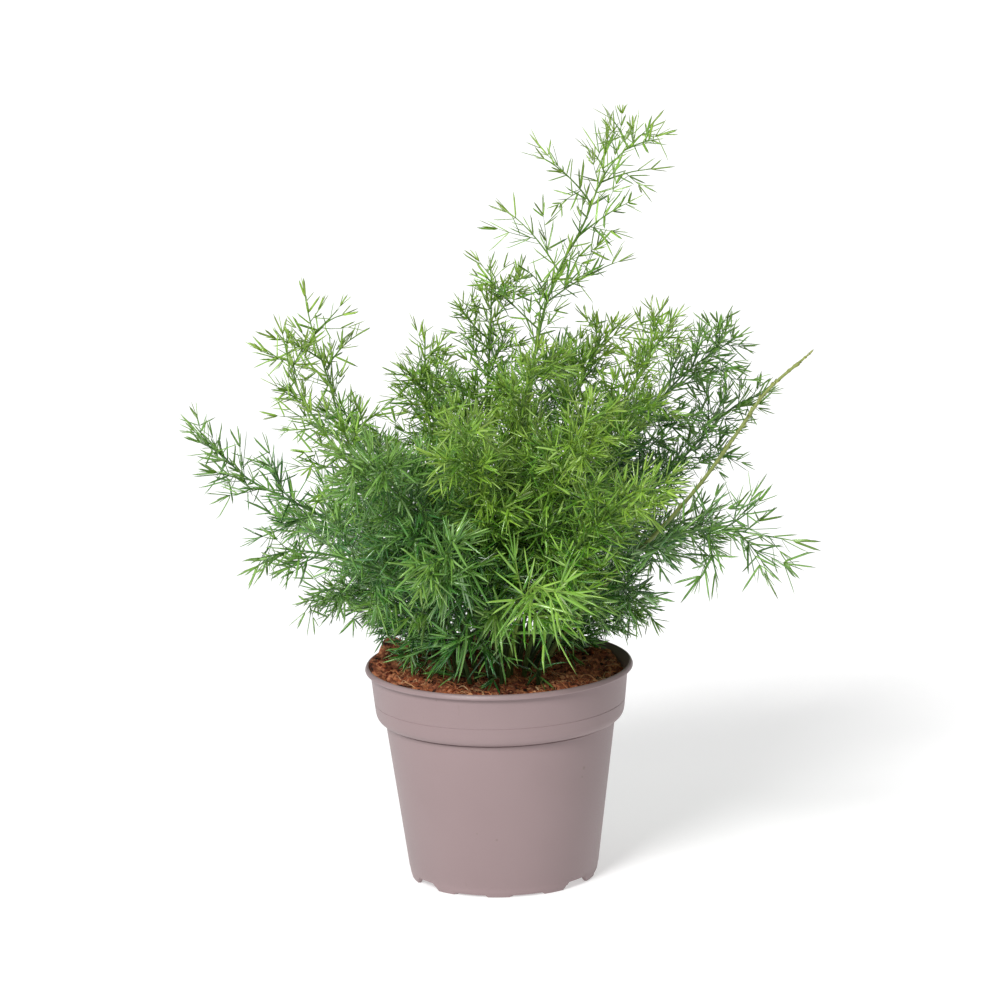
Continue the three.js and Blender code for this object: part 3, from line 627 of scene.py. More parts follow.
def aside(along, turn):
    """The direction square to a line at one turn round it."""
    first = unit(np.cross(along, UP if abs(along[2]) < 0.9 else SIDEWAYS))
    return first * math.cos(turn) + np.cross(along, first) * math.sin(turn)


def leaning(along, turn, angle):
    return unit(along * math.cos(angle) + aside(along, turn) * math.sin(angle))


# %% [markdown]
# The list of canes was made by following the sprays in the photograph. Each has a kind,
# which sets its colour; a seed for its draws; its root in the soil; the share that is bare; the
# reach of its side branches; the length of its needles; and the points that its stem passes. The
# tallest and three others also have branches that were placed one by one.

# %% The canes
CANES = {
    "cane_tall": ("fresh", 11, (3, 1), 0.42, 40, 13, [
        (11, 6, 179), (21, 8, 243), (30, 10, 271), (42, 8, 293), (53, 4, 318), (72, 2, 337)]),
    "cane_left_high": ("fresh", 12, (-11, -5), 0.34, 36, 13, [
        (-34, -14, 157), (-62, -22, 201), (-72, -22, 234), (-78, -18, 254), (-81, -14, 269)]),
    "cane_left_fore": ("fresh", 13, (-19, -13), 0.34, 34, 13, [
        (-38, -34, 162), (-71, -52, 212), (-85, -52, 237), (-90, -48, 259)]),
    "cane_far_left": ("deep", 14, (-16, 1), 0.34, 36, 14, [
        (-43, 2, 145), (-83, 6, 168), (-109, 8, 182), (-123, 8, 196), (-133, 8, 205)]),
    "cane_left_low": ("deep", 15, (-15, -18), 0.3, 36, 15, [
        (-36, -46, 142), (-63, -70, 162), (-85, -78, 169), (-99, -80, 166)]),
    "cane_left_droop": ("deep", 16, (-18, -6), 0.3, 30, 14, [
        (-43, -18, 131), (-63, -28, 139), (-77, -34, 140), (-85, -36, 131)]),
    "cane_centre_high": ("fresh", 17, (-1, 9), 0.36, 36, 13, [
        (-4, 24, 148), (-3, 34, 201), (0, 32, 243), (1, 26, 272)]),
    "cane_mid_left": ("fresh", 18, (-7, 1), 0.38, 34, 13, [
        (-18, 2, 153), (-27, -4, 201), (-29, -8, 229), (-29, -10, 248)]),
    "cane_mid_right": ("fresh", 19, (7, 7), 0.36, 34, 13, [
        (20, 14, 159), (33, 18, 203), (44, 16, 231), (58, 10, 249)]),
    "cane_right_high": ("fresh", 20, (9, -2), 0.36, 34, 13, [
        (31, -4, 158), (52, -8, 204), (68, -8, 234), (75, -4, 256)]),
    "cane_right_top": ("deep", 21, (14, 7), 0.36, 34, 13, [
        (33, 20, 148), (62, 30, 191), (85, 32, 219), (112, 30, 238)]),
    "cane_right_back": ("deep", 22, (13, 13), 0.36, 34, 13, [
        (42, 34, 140), (80, 50, 172), (107, 56, 198), (125, 56, 206)]),
    "cane_young": ("young", 23, (20, -7), 0.56, 0, 8, [
        (46, -18, 134), (72, -30, 163), (90, -34, 184), (107, -34, 207), (120, -30, 224),
        (138, -24, 238)]),
    "cane_right_low": ("deep", 24, (13, -8), 0.32, 34, 15, [
        (41, -26, 136), (68, -42, 159), (94, -48, 167), (130, -48, 161)]),
    "cane_right_droop": ("deep", 25, (16, -1), 0.32, 26, 13, [
        (37, -6, 122), (53, -10, 129), (63, -12, 125), (70, -12, 117)]),
    "cane_front_bright": ("bright", 26, (4, -24), 0.4, 26, 18, [
        (10, -62, 136), (15, -88, 152), (21, -102, 154), (25, -108, 146)]),
    "cane_front_low": ("deep", 27, (-4, -26), 0.34, 30, 16, [
        (-12, -60, 145), (-22, -88, 165), (-28, -102, 166), (-33, -108, 158)]),
    "cane_front_left": ("deep", 28, (-10, -23), 0.32, 36, 15, [
        (-25, -52, 162), (-45, -84, 200), (-55, -96, 211), (-63, -102, 209)]),
    "cane_front_mid": ("fresh", 29, (-1, -20), 0.32, 36, 14, [
        (-4, -52, 170), (-10, -80, 208), (-13, -92, 223), (-17, -98, 230)]),
    "cane_front_right": ("fresh", 30, (5, -18), 0.32, 36, 14, [
        (19, -48, 168), (33, -74, 210), (42, -82, 224), (51, -86, 229)]),
    "cane_front_far_right": ("fresh", 31, (11, -22), 0.32, 34, 15, [
        (28, -52, 151), (50, -78, 183), (62, -88, 194), (74, -94, 195)]),
    "cane_fore_centre": ("fresh", 32, (4, -9), 0.34, 36, 13, [
        (6, -28, 169), (12, -42, 217), (17, -44, 238), (21, -42, 250)]),
    "cane_back_left": ("deep", 33, (-11, 15), 0.32, 38, 14, [
        (-30, 40, 135), (-52, 66, 168), (-66, 80, 188), (-75, 86, 197)]),
    "cane_back_far_left": ("deep", 34, (-15, 20), 0.32, 36, 14, [
        (-40, 54, 118), (-67, 86, 135), (-82, 98, 142), (-95, 104, 139)]),
    "cane_back_mid": ("deep", 35, (-5, 20), 0.32, 38, 14, [
        (-12, 56, 136), (-20, 84, 177), (-24, 96, 203), (-26, 100, 215)]),
    "cane_back_high": ("deep", 36, (2, 18), 0.32, 38, 14, [
        (6, 50, 142), (17, 80, 181), (24, 90, 207), (32, 92, 221)]),
    "cane_back_right": ("deep", 37, (8, 21), 0.32, 38, 14, [
        (24, 54, 131), (49, 84, 161), (63, 96, 182), (73, 102, 190)]),
    "cane_back_far_right": ("deep", 38, (15, 20), 0.32, 36, 14, [
        (33, 52, 117), (66, 82, 133), (85, 96, 134), (100, 102, 127)]),
    "cane_low_left": ("deep", 41, (-26, -13), 0.25, 20, 13, [
        (-37, -36, 126), (-47, -50, 139), (-55, -58, 140)]),
    "cane_low_fore": ("deep", 42, (1, -32), 0.2, 16, 14, [
        (1, -48, 130), (1, -60, 138), (-2, -68, 136)]),
    "cane_low_right": ("deep", 43, (17, -26), 0.2, 18, 14, [
        (28, -42, 128), (38, -54, 138), (46, -60, 138)]),
    "cane_low_fore_left": ("deep", 44, (-13, -30), 0.2, 16, 14, [
        (-23, -44, 128), (-32, -56, 136), (-39, -62, 134)]),
    "cane_low_back_right": ("deep", 45, (19, 11), 0.25, 26, 13, [
        (42, 30, 108), (56, 44, 114), (65, 52, 110)]),
    "cane_low_back_left": ("deep", 46, (-17, 10), 0.25, 26, 13, [
        (-44, 28, 111), (-56, 40, 116), (-66, 48, 112)]),
    "cane_back_low": ("deep", 39, (-1, 26), 0.32, 34, 14, [
        (-4, 66, 105), (-5, 98, 116), (-6, 112, 115), (-8, 120, 106)]),
}
PLACED_BRANCHES = {  # share of the stem where a branch leaves, then the place of its tip
    "cane_tall": [
        (0.652, 58, 22, 274), (0.655, 17, -14, 277), (0.708, 9, 20, 298), (0.772, 62, -16, 307),
        (0.835, 25, -8, 326), (0.875, 73, 16, 316), (0.892, 45, 24, 325), (0.945, 73, -16, 334),
        (0.95, 55, 6, 341)],
    "cane_left_high": [(0.83, -59, -6, 249), (0.855, -94, -34, 254), (0.912, -64, -30, 263)],
    "cane_right_top": [(0.86, 94, 40, 238), (0.888, 109, 18, 218), (0.932, 101, 20, 246)],
    "cane_right_low": [
        (0.73, 97, -30, 178), (0.758, 95, -62, 150), (0.81, 115, -60, 182), (0.848, 118, -36, 146)],
}
print(len(CANES), "canes")

# %% [markdown]
# The stem stands upright in its hole and then bends smoothly through its points: between two
# points it is a Hermite curve, whose slope at each point is set by the neighbours. A branch is
# simpler: it takes five steps, and turns a little towards the light after each.

# %% Stems and branches
ROOT_DEPTH = 11
POT_HEIGHT = 97.5
WALL_FROM, WALL_TO = 52, 63  # a place between these radii is over the pot's wall
SPAN_STEPS = 8
SAMPLE_GAP = 2.5
BRANCH_GAP, BRANCH_STEPS = 16, 5
BRANCH_CLEARANCE, BRANCH_MARGIN = 4.6, 3  # from other canes, and from the pot and soil
ATTEMPTS, ATTEMPT_TURN = 9, 0.7


def stem_path(root, route):
    x, y = root
    foot = np.array([x, y, float(soil_height(x, y))])
    route = [np.array(point, float) for point in route]
    rise = 0.55 * math.sqrt(((route[0] - foot) ** 2).sum())
    knots = [route[0] - 2 * rise * UP, foot, *route, 2 * route[-1] - route[-2]]
    points = [foot - ROOT_DEPTH * UP, foot]
    for i in range(1, len(knots) - 2):
        leave, arrive = (knots[i + 1] - knots[i - 1]) / 2, (knots[i + 2] - knots[i]) / 2
        for k in range(1, SPAN_STEPS + 1):
            t = k / SPAN_STEPS
            points.append(knots[i] * (2 * t ** 3 - 3 * t * t + 1) + leave * (t ** 3 - 2 * t * t + t)
                          + knots[i + 1] * (3 * t * t - 2 * t ** 3) + arrive * (t ** 3 - t * t))
    return Path(points)


def branch_path(start, along, turn, angle, long, lift, steps):
    points, heading = [start], leaning(along, turn, angle)
    for _ in range(steps):
        points.append(points[-1] + heading * (long / steps))
        heading = unit(heading + along * 0.05 + UP * lift)
    return Path(points)


def placed_path(stem, share, *tip):
    point, along = stem.at(share * stem.length)
    chord = np.array(tip, float) - point
    bow = 0.24 * math.sqrt(chord @ chord)
    return Path([point + chord * t + along * bow * t * (1 - t) for t in np.arange(6) / 5])


def outside(places, margin):
    """For each place, whether it is free of the pot and of the soil."""
    places = np.atleast_2d(places)
    radius = np.hypot(places[:, 0], places[:, 1])
    top = np.where(radius > WALL_FROM, POT_HEIGHT, soil_height(places[:, 0], places[:, 1]))
    return (radius > WALL_TO) | (places[:, 2] > top + margin)


def line_of(path, tip):
    """Places along a path and on through its pointed tip."""
    point, along = path.at(path.length)
    beyond = [point + along * d for d in np.arange(SAMPLE_GAP, tip + 0.001, SAMPLE_GAP)]
    return np.vstack([path.samples(SAMPLE_GAP), *beyond])


def grow_branches():
    """Every cane as its stem and its branches: a list of (path, share of the stem)."""
    grown = {}
    for name, (kind, seed, root, bare, reach, needle, route) in CANES.items():
        stem = stem_path(root, route)
        grown[name] = {"kind": kind, "seed": seed, "bare": bare, "reach": reach, "needle": needle,
                       "stem": stem, "branches": [], "line": line_of(stem, needle)}
    for name, cane in grown.items():
        draws = Draws(cane["seed"] * 7919)
        others = np.vstack([other["line"] for key, other in grown.items() if key != name])
        stem, length = cane["stem"], cane["stem"].length
        placed = PLACED_BRANCHES.get(name, [])
        rule_end = length * placed[0][0] - 6 if placed else length - 7
        turn = draws.between(0, FULL_TURN)
        distance = length * cane["bare"] if cane["reach"] else length
        while distance < rule_end:
            share = max(0, distance / length - cane["bare"]) / (1 - cane["bare"])
            taper = (1 - 0.72 * share ** 1.5) * (0.7 + 0.3 * min(1, share * 4))
            long = cane["reach"] * taper * draws.between(0.85, 1.12)
            angle = math.radians(64 - 20 * share)
            lift = draws.between(-0.03, 0.05)
            point, along = stem.at(distance)
            for attempt in range(ATTEMPTS):
                branch = branch_path(point, along, turn + attempt * ATTEMPT_TURN, angle, long,
                                     lift, BRANCH_STEPS)
                line = line_of(branch, cane["needle"])
                apart = ((others[:, None] - line[None]) ** 2).sum(axis=2).min()
                if outside(line, BRANCH_MARGIN).all() and apart > BRANCH_CLEARANCE ** 2:
                    cane["branches"].append((branch, distance / length))
                    break
            distance += draws.between(0.85, 1.2) * BRANCH_GAP
            turn += GOLDEN_TURN
        cane["branches"] += [(placed_path(stem, *each), each[0]) for each in placed]
        lines = [line_of(path, cane["needle"]) for path, _ in cane["branches"]]
        cane["line"] = np.vstack([cane["line"], *lines])
    return grown


grown = grow_branches()
print(sum(len(cane["branches"]) for cane in grown.values()), "side branches")

# %% [markdown]
# The solids carry the main branches alone. A real spray is finer: every branch splits once more
# into twigs, and short shoots, which split too, fill the stem between the branches. These are
# grown here with draws of their own, so the branches stay where the solids have them. A twig is
# kept only where it is clear of the pot and the soil, and inside the box that the solids span.

# %% Twigs and shoots
# For each cane: width of a needle in mm, its length compared with the usual one, the fullness of
# the spray, and how far the needles hang.
USUAL_HABIT = (1.0, 0.82, 2.0, 0.0)
HABIT = {
    "cane_tall": (1.1, 1.0, 0.45, 0.0), "cane_left_high": (1.1, 0.95, 0.52, 0.0),
    "cane_left_fore": (1.05, 0.9, 0.75, 0.0), "cane_far_left": (1.1, 1.0, 0.7, 0.0),
    "cane_left_low": (1.05, 0.85, 0.65, 0.05), "cane_right_top": (1.05, 0.82, 2.2, 0.0),
    "cane_right_back": (1.05, 0.82, 2.3, 0.0), "cane_right_low": (1.1, 1.05, 0.5, 0.0),
    "cane_centre_high": (1.0, 0.8, 2.6, 0.0), "cane_mid_left": (1.0, 0.8, 2.5, 0.0),
    "cane_mid_right": (1.0, 0.8, 3.1, 0.0), "cane_fore_centre": (1.0, 0.82, 2.4, 0.0),
    "cane_right_high": (1.0, 0.8, 3.0, 0.0), "cane_front_mid": (1.05, 0.85, 2.3, 0.05),
    "cane_front_right": (1.05, 0.85, 2.3, 0.05), "cane_front_left": (1.1, 0.9, 2.2, 0.08),
    "cane_front_far_right": (1.05, 0.85, 2.6, 0.0), "cane_front_bright": (1.4, 1.25, 0.36, 0.2),
    "cane_front_low": (1.25, 1.1, 1.0, 0.18), "cane_low_fore": (1.3, 1.2, 0.28, 0.3),
    "cane_low_fore_left": (1.3, 1.2, 0.28, 0.3), "cane_low_right": (1.25, 1.2, 0.3, 0.3),
    "cane_low_left": (1.15, 1.15, 0.4, 0.25),
}
TWIG_SHARES = (0.5, 0.26, 0.72, 0.38, 0.62, 0.84)
SHOOT_SHARES = (0.3, 0.6, 0.45, 0.75)
SHOOT_GAP = 6.0
SHORTEST_TWIG, TWIG_MARGIN = 7, 2
TWIG_STEPS, SHOOT_STEPS = 3, 4
KNOT_GAP = 3.9
BOX_LOW, BOX_HIGH = np.array(cad_low) / MM + 0.4, np.array(cad_high) / MM - 0.4


def fits(places, margin):
    inside = (places > BOX_LOW).all() and (places < BOX_HIGH).all()
    return inside and outside(places, margin).all()


def split(parent, place, long, draws):
    """A twig that leaves its parent path at a share of its length."""
    point, along = parent.at(place * parent.length)
    return branch_path(point, along, draws.between(0, FULL_TURN),
                       math.radians(draws.between(36, 66)), long, draws.between(-0.08, 0.14),
                       TWIG_STEPS)


def grow_twigs(cane, fullness):
    """Fine side shoots as paths: first those of the branches, then those of the stem."""
    draws = Draws(cane["seed"] * 7919 + 2)
    stem, twigs = cane["stem"], []
    for branch, share in cane["branches"]:
        count = round(4 * min(1.5, fullness)) if branch.length > 16 else 2
        for place in TWIG_SHARES[:count]:
            long = branch.length * draws.between(0.36, 0.68) * (1.15 - 0.5 * place)
            twig = split(branch, place, long, draws)
            if fits(twig.points, TWIG_MARGIN):
                twigs.append((twig, share))
    distance = stem.length * cane["leafless"]
    turn = draws.between(0, FULL_TURN)
    while distance < stem.length - 4:
        share = distance / stem.length
        point, along = stem.at(distance)
        long = cane["reach"] * draws.between(0.45, 0.9) * (1.1 - 0.75 * share)
        angle = math.radians(draws.between(44, 62))
        shoot = branch_path(point, along, turn, angle, long, 0.03, SHOOT_STEPS)
        if fits(shoot.points, TWIG_MARGIN):
            twigs.append((shoot, share))
            for place in SHOOT_SHARES[:round(2 * fullness)]:
                long = shoot.length * draws.between(0.32, 0.62)
                side = split(shoot, place, long, draws)
                if long > SHORTEST_TWIG and fits(side.points, TWIG_MARGIN):
                    twigs.append((side, share))
        distance += SHOOT_GAP / fullness * draws.between(0.8, 1.2)
        turn += GOLDEN_TURN
    return twigs


for name, cane in grown.items():
    short = cane["reach"] <= 20
    cane["leafless"] = (0.6 if short else cane["bare"]) if cane["reach"] else 1.0
    cane["twigs"] = grow_twigs(cane, HABIT.get(name, USUAL_HABIT)[2])
print(sum(len(cane["twigs"]) for cane in grown.values()), "twigs and shoots")

# %% [markdown]
# What look like leaves are flattened little twigs, called cladodes. They stand in clusters, one to
# four to a knot, lean well away from the branch, and shorten towards its tip. Each is stored as a
# row of numbers: where it starts, which way it heads, how long and wide it is, how it is turned
# about itself, how it bends, and two numbers for its colour.

# %% Needles as rows of numbers
NEEDLE_MARGIN = 0.5
SHORTEST_SHARE, SHORTENING = 0.45, 0.8


def add_needle(rows, root, heading, along, long, width, draws, tone, age, sag=0.0):
    """One needle, shortened where it would leave the box, and left out where it can't stand."""
    heading = unit(heading - UP * sag)
    forward = along - heading * (along @ heading)
    bow = (forward * draws.between(-0.1, 0.34) - UP * 0.5 * sag
           + np.cross(heading, along) * draws.between(-0.16, 0.16))
    reach = (heading + bow) * long
    limit = np.where(reach > 0, BOX_HIGH - root, root - BOX_LOW)
    fit = min(1.0, float((limit / np.maximum(np.abs(reach), 1e-6)).min()))
    steps = np.array([[0.35], [0.7], [1.0]])
    spin, width = draws.between(-1.1, 1.1), width * draws.between(0.75, 1.25)
    while fit > SHORTEST_SHARE:
        places = root + (heading * steps + bow * steps ** 2) * long * fit
        if outside(places, NEEDLE_MARGIN).all():
            rows.append([*root, *heading, *bow, long * fit, width, spin, tone, age])
            break
        fit *= SHORTENING


def needles_along(rows, path, start, gap, cane, draws, ages, width, sag):
    """Clusters from a start to the tip of a path, and a few needles that close the tip."""
    turn = draws.between(0, FULL_TURN)
    distance = start
    long = cane["long"]
    while distance < path.length - 1:
        point, along = path.at(distance)
        share = distance / path.length
        age = ages[0] + (ages[1] - ages[0]) * share
        shade = draws.next()
        count = 1 + int(draws.next() * 3.6)
        for j in range(count):
            around = turn + (j - (count - 1) / 2) * 1.25 + draws.between(-0.5, 0.5)
            heading = leaning(along, around, math.radians(draws.between(24, 84) - 14 * share))
            size = long * draws.between(0.55, 1.3) * (1 - 0.25 * share)
            tone = 0.4 * shade + 0.6 * draws.next()
            add_needle(rows, point, heading, along, size, width, draws, tone, age, sag)
        turn += GOLDEN_TURN
        distance += gap * draws.between(0.7, 1.3)
    point, along = path.at(path.length)
    for j in range(3):
        heading = leaning(along, turn + j * 2.1, math.radians(draws.between(6, 34)))
        add_needle(rows, point - along * 0.6, heading, along, long * draws.between(0.45, 0.9),
                   width, draws, draws.next() * 0.9, ages[1], sag * 0.5)


def buds_along(rows, path, start, cane, draws):
    """The young shoot's needles haven't spread yet, and lie against its stem like scales."""
    turn, distance = 0.0, start
    while distance < path.length + 2:
        point, along = path.at(min(distance, path.length))
        share = (distance - start) / (path.length - start)
        for j in range(3):
            heading = leaning(along, turn + j * 2.1, math.radians(draws.between(8, 30) - 6 * share))
            size = cane["needle"] * draws.between(0.4, 0.8) * (1 - 0.45 * share)
            add_needle(rows, point + along * (distance - min(distance, path.length)), heading,
                       along, size, 1.0, draws, draws.next(), share)
        turn += GOLDEN_TURN
        distance += (4.6 - 3.4 * min(1, share * 1.7)) * draws.between(0.8, 1.2)


needle_total = 0
for name, cane in grown.items():
    draws = Draws(cane["seed"] * 7919 + 1)
    rows, stem = [], cane["stem"]
    width, stretch, fullness, sag = HABIT.get(name, USUAL_HABIT)
    cane["long"] = cane["needle"] * stretch
    gap = KNOT_GAP / min(1, 1.5 * fullness)
    if cane["kind"] == "young":
        buds_along(rows, stem, stem.length * cane["bare"], cane, draws)
    else:
        for path, share in cane["branches"]:
            needles_along(rows, path, 3.5, gap, cane, draws, (share ** 2 * 0.6, share), width, sag)
        for path, share in cane["twigs"]:
            needles_along(rows, path, 2.4, gap, cane, draws, (share ** 2 * 0.7, share), width, sag)
        needles_along(rows, stem, stem.length * cane["leafless"] * 0.9, gap, cane, draws, (0, 1),
                      width, sag)
    cane["needles"] = np.array(rows)
    needle_total += len(rows)
print(needle_total, "needles")

# %% [markdown]
# A needle is built once: a cone with three sides, cut across twice so that it can bend and swell,
# then flattened when it is laid out. Its two thin edges are marked sharp, and the third stays soft
# and makes a faint ridge along the upper face. The tubes for stems, branches and twigs are cut
# across into rings, like the thread of coir. Each kind is made once, copied as often as a cane
# needs it, and then every copy's points are moved to their place in one step, which is far
# quicker than adding thousands of objects.

# %% One needle and one tube of each kind
NEEDLE_WAIST = [(0.0, 0.4), (0.15, 0.95), (0.76, 0.86), (1.0, 0.05)]  # place, share of its width


def needle_template(material_index):
    bm = bmesh.new()
    bmesh.ops.create_cone(bm, cap_ends=True, segments=3, radius1=1, radius2=0, depth=1)
    bmesh.ops.translate(bm, verts=bm.verts, vec=(0, 0, 0.5))
    for share, _ in NEEDLE_WAIST[1:-1]:
        bmesh.ops.bisect_plane(bm, geom=bm.verts[:] + bm.edges[:] + bm.faces[:],
                               plane_co=(0, 0, share), plane_no=(0, 0, 1))
    for vert in bm.verts:
        reach = math.hypot(vert.co.x, vert.co.y)
        wide = np.interp(vert.co.z, *zip(*NEEDLE_WAIST))
        if reach > 1e-6:
            vert.co.x *= wide / reach
            vert.co.y *= wide / reach
    for face in bm.faces:
        face.smooth = True
        face.material_index = material_index
    for edge in bm.edges:
        a, b = (v.co for v in edge.verts)
        edge.smooth = not (a.y < -0.01 and abs(a.z - b.z) > 0.05)
    return bm


def tube_template(sides, rings, material_index):
    bm = bar(sides, rings)
    for face in bm.faces:
        face.smooth = len(face.verts) == 4
        face.material_index = material_index
    return bm


SIDES = {"stem": 8, "branch": 5, "twig": 3}
RINGS = {"stem": 44, "branch": 8, "twig": 3}
TEMPLATES = {kind: tube_template(SIDES[kind], RINGS[kind], 1) for kind in RINGS}
TEMPLATES["needle"] = needle_template(0)
SHAPES = {kind: np.array([v.co for v in bm.verts]) for kind, bm in TEMPLATES.items()}
print({kind: len(shape) for kind, shape in SHAPES.items()}, "vertices each")

# %% [markdown]
# To lay a tube along a path, each of its rings needs a centre and two directions square to the
# path. Carrying one direction from ring to ring, and only straightening it a little each time,
# keeps the tube from twisting. A needle needs a frame at its root alone: it turns its ridge
# roughly outwards and up, to the light, and its points are then pushed aside by the square of
# their distance along it, which gives an even bend.

# %% Laying out tubes and needles
THICKNESS = 0.42
TUBE_TIP = 0.45  # how far the last ring of a tube is drawn in
PLANT_HEART = np.array([0.0, 0.0, 130.0])


def lay_tube(kind, path, radii):
    """The points of a tube on a path, with a radius for each end."""
    rings = RINGS[kind]
    centres = path.spread(rings + 1)
    steps = np.gradient(centres, axis=0)
    alongs = steps / np.linalg.norm(steps, axis=1, keepdims=True)
    first = aside(alongs[0], 0)
    firsts = []
    for along in alongs:
        first = unit(first - along * (first @ along))
        firsts.append(first)
    firsts = np.array(firsts)
    seconds = np.cross(alongs, firsts)
    shape = SHAPES[kind]
    ring = np.rint(shape[:, 2] * rings).astype(int)
    wide = np.linspace(*radii, rings + 1)
    wide[-1] *= TUBE_TIP
    return (centres[ring] + firsts[ring] * (shape[:, :1] * wide[ring, None])
            + seconds[ring] * (shape[:, 1:2] * wide[ring, None]))


def lay_needles(rows, shape):
    """The points of every needle in the rows, one needle after another."""
    root, heading, bow = rows[:, 0:3], rows[:, 3:6], rows[:, 6:9]
    long, width, spin = rows[:, 9], rows[:, 10], rows[:, 11]
    outwards = root - PLANT_HEART
    outwards = outwards / np.linalg.norm(outwards, axis=1, keepdims=True) + 0.5 * UP
    first = np.cross(outwards, heading)
    first /= np.maximum(1e-6, np.linalg.norm(first, axis=1, keepdims=True))
    second = np.cross(heading, first)
    side = first * np.cos(spin)[:, None] + second * np.sin(spin)[:, None]
    face = np.cross(heading, side)
    x, y, z = shape.T
    points = root[:, None] + heading[:, None] * (long[:, None] * z)[..., None]
    points = points + bow[:, None] * (long[:, None] * z ** 2)[..., None]
    points = points + side[:, None] * (width[:, None] / 2 * x)[..., None]
    thick = np.minimum(THICKNESS, width * 0.4)
    return (points + face[:, None] * (thick[:, None] / 2 * y)[..., None]).reshape(-1, 3)


print("the layout helpers are ready")

# %% [markdown]
# The needles are waxy and slightly glossy, so they flash silver where they face the light. The
# palest stop of each needle colour ramp is painted highlight as well as real waxy bloom: the few
# needles that reach it are silver-green under any light. Old sprays are blue-green and new ones
# yellow-green, and within a spray every needle differs a little. Three attributes carry this:
# tone, drawn for each needle, age, which rises from the old base of a cane to its new tip, and
# along, which runs from a needle's root to its point. Each kind of cane has a material of its own
# with the same recipe and other colours; those of the deep kind are bluer, and darker as painted
# shade for the sprays that sit in shade.

# %% Materials of the leaves and stems
# The fourth colour of each kind is a painted highlight as well as the real waxy bloom.
LEAF_COLOURS = {  # dark, middle, light and waxy needles, new growth, and the tint of some patches
    "fresh": ("#1F4810", "#4D9022", "#98CA4E", "#C4DCA0", "#A0BC48", "#7C9A28"),
    # The deep kind is bluer than fresh, and darker as painted shade for the sprays that sit in
    # shade.
    "deep": ("#183E12", "#3D7E28", "#84B856", "#B4D2A8", "#8AAE48", "#2A7040"),
    "bright": ("#2E6818", "#5C9C2C", "#A0CC5C", "#D6E8B8", "#98BE4C", "#7CB040"),
    "young": ("#5E6E2C", "#84903E", "#9CA050", "#AEB264", "#A2A858", "#7A8838"),
}
# The stems of the deep kind are darker as painted shade too.
STEM_COLOURS = {"fresh": ("#3E4E20", "#6E9A3A"), "deep": ("#344420", "#4E7A3A"),
                "bright": ("#465624", "#8CB04A"), "young": ("#66763A", "#8E9A52")}


def leaf_material(kind):
    dark, middle, light, waxy_glint, new, patch = LEAF_COLOURS[kind]
    material, tree, shader = new_material(f"{kind}_cladodes", IOR=1.45, Specular_IOR_Level=0.9)
    tone, age, along = (
        add_node(tree, "ShaderNodeAttribute", attribute_name=name).outputs["Fac"]
        for name in ("tone", "age", "along"))
    ramp = add_node(tree, "ShaderNodeValToRGB", [("Fac", tone)])
    ramp.color_ramp.elements[0].position = 0.1
    ramp.color_ramp.elements[0].color = colour(dark)
    # The far end of the ramp is a painted highlight: the palest needles are silver-green under any
    # light, standing in for glints as well as for the waxy bloom.
    ramp.color_ramp.elements[1].color = colour(waxy_glint)
    ramp.color_ramp.elements.new(0.42).color = colour(middle)
    ramp.color_ramp.elements.new(0.8).color = colour(light)
    coords = add_node(tree, "ShaderNodeTexCoord").outputs["Object"]
    cloud = add_node(tree, "ShaderNodeTexNoise", [("Vector", coords)], Scale=45.0, Detail=2.0)
    base = ramp.outputs["Color"]
    for source, start, end, share, end_share, tint in [
            (cloud.outputs["Fac"], 0.46, 0.6, 0.0, 0.4, patch), (age, 0.0, 0.3, 0.6, 0.0, dark),
            (age, 0.35, 1.0, 0.0, 0.55, new), (along, 0.0, 0.25, 0.35, 0.0, new)]:
        amount = add_node(tree, "ShaderNodeMapRange", [("Value", source)],
                          From_Min=start, From_Max=end, To_Min=share, To_Max=end_share)
        mix = add_node(tree, "ShaderNodeMix", [("Factor", amount.outputs["Result"]), ("A", base)],
                       data_type="RGBA")
        mix.inputs["B"].default_value = colour(tint)
        base = mix.outputs["Result"]
    tree.links.new(base, shader.inputs["Base Color"])
    wax = add_node(tree, "ShaderNodeTexNoise", [("Vector", coords)], Scale=400.0, Detail=2.0)
    sheen = add_node(tree, "ShaderNodeMapRange", [("Value", wax.outputs["Fac"])],
                     From_Min=0.3, From_Max=0.7, To_Min=0.15, To_Max=0.32)
    tree.links.new(sheen.outputs["Result"], shader.inputs["Roughness"])
    return material


def stem_material(kind):
    old, new = STEM_COLOURS[kind]
    material, tree, shader = new_material(f"{kind}_stems", Roughness=0.55, IOR=1.45)
    age = add_node(tree, "ShaderNodeAttribute", attribute_name="age").outputs["Fac"]
    mix = add_node(tree, "ShaderNodeMix", [("Factor", age)], data_type="RGBA")
    mix.inputs["A"].default_value = colour(old)
    mix.inputs["B"].default_value = colour(new)
    coords = add_node(tree, "ShaderNodeTexCoord").outputs["Object"]
    streak = add_node(tree, "ShaderNodeTexNoise", [("Vector", coords)], Scale=600.0, Detail=3.0)
    shade = add_node(tree, "ShaderNodeMapRange", [("Value", streak.outputs["Fac"])],
                     From_Min=0.3, From_Max=0.7, To_Min=0.75, To_Max=1.12)
    mixed = add_node(tree, "ShaderNodeVectorMath",
                     [(0, mix.outputs["Result"]), (1, shade.outputs["Result"])],
                     operation="MULTIPLY")
    tree.links.new(mixed.outputs["Vector"], shader.inputs["Base Color"])
    return material


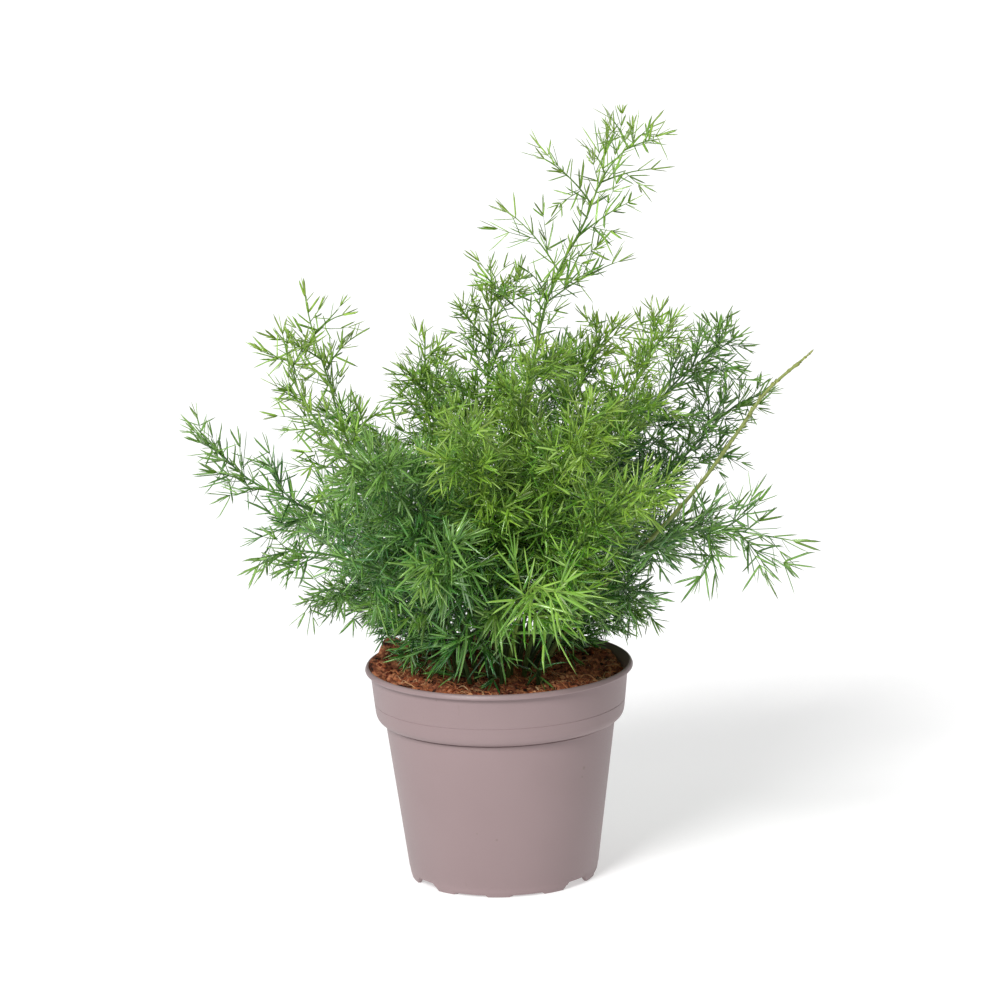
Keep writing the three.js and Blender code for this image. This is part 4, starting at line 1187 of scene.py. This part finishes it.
LEAF_MATERIALS = {kind: leaf_material(kind) for kind in LEAF_COLOURS}
STEM_MATERIALS = {kind: stem_material(kind) for kind in STEM_COLOURS}
print(len(LEAF_MATERIALS) + len(STEM_MATERIALS), "plant materials")

# %% [markdown]
# Each cane becomes one piece: its stem, branches and twigs, and then its needles. The copies are
# made in that order, and the points and attributes are gathered in the same order, so each number
# meets its own vertex.

# %% The canes as pieces
STEM_RADII, YOUNG_RADII = (1.2, 0.24), (1.2, 0.65)
BRANCH_RADII, TWIG_RADII = (0.45, 0.2), (0.26, 0.14)


def cane_tubes(cane):
    """For each kind of tube: its radii, and its paths with the age at their foot."""
    stem_radii = YOUNG_RADII if cane["kind"] == "young" else STEM_RADII
    return [("stem", stem_radii, [(cane["stem"], 0)]),
            ("branch", BRANCH_RADII, [(path, share * 0.7) for path, share in cane["branches"]]),
            ("twig", TWIG_RADII, cane["twigs"])]


def build_cane(name, cane):
    blocks, ages, tones, alongs = [], [], [], []
    bm = bmesh.new()
    for tube, radii, paths in cane_tubes(cane):
        add_copies(bm, TEMPLATES[tube], len(paths))
        for path, age in paths:
            points = lay_tube(tube, path, radii)
            blocks.append(points)
            ages.append(age + (1 - age) * SHAPES[tube][:, 2])
            tones.append(np.full(len(points), 0.5))
            alongs.append(np.ones(len(points)))
    rows, shape = cane["needles"], SHAPES["needle"]
    add_copies(bm, TEMPLATES["needle"], len(rows))
    blocks.append(lay_needles(rows, shape))
    tones.append(np.repeat(rows[:, 12], len(shape)))
    ages.append(np.repeat(rows[:, 13], len(shape)))
    alongs.append(np.tile(shape[:, 2], len(rows)))
    kind = cane["kind"]
    piece = to_piece(name + "_foliage", bm, [LEAF_MATERIALS[kind], STEM_MATERIALS[kind]],
                     [name])
    points = np.vstack(blocks) * MM
    piece.data.vertices.foreach_set("co", points.astype(np.float32).ravel())
    for attribute, values in [("tone", tones), ("age", ages), ("along", alongs)]:
        set_attribute(piece.data, attribute, np.concatenate(values))
    piece.data.update()
    return piece


triangle_total = 0
for name, cane in grown.items():
    piece = build_cane(name, cane)
    triangle_total += sum(len(p.vertices) - 2 for p in piece.data.polygons)
print("the canes have", triangle_total, "triangles")
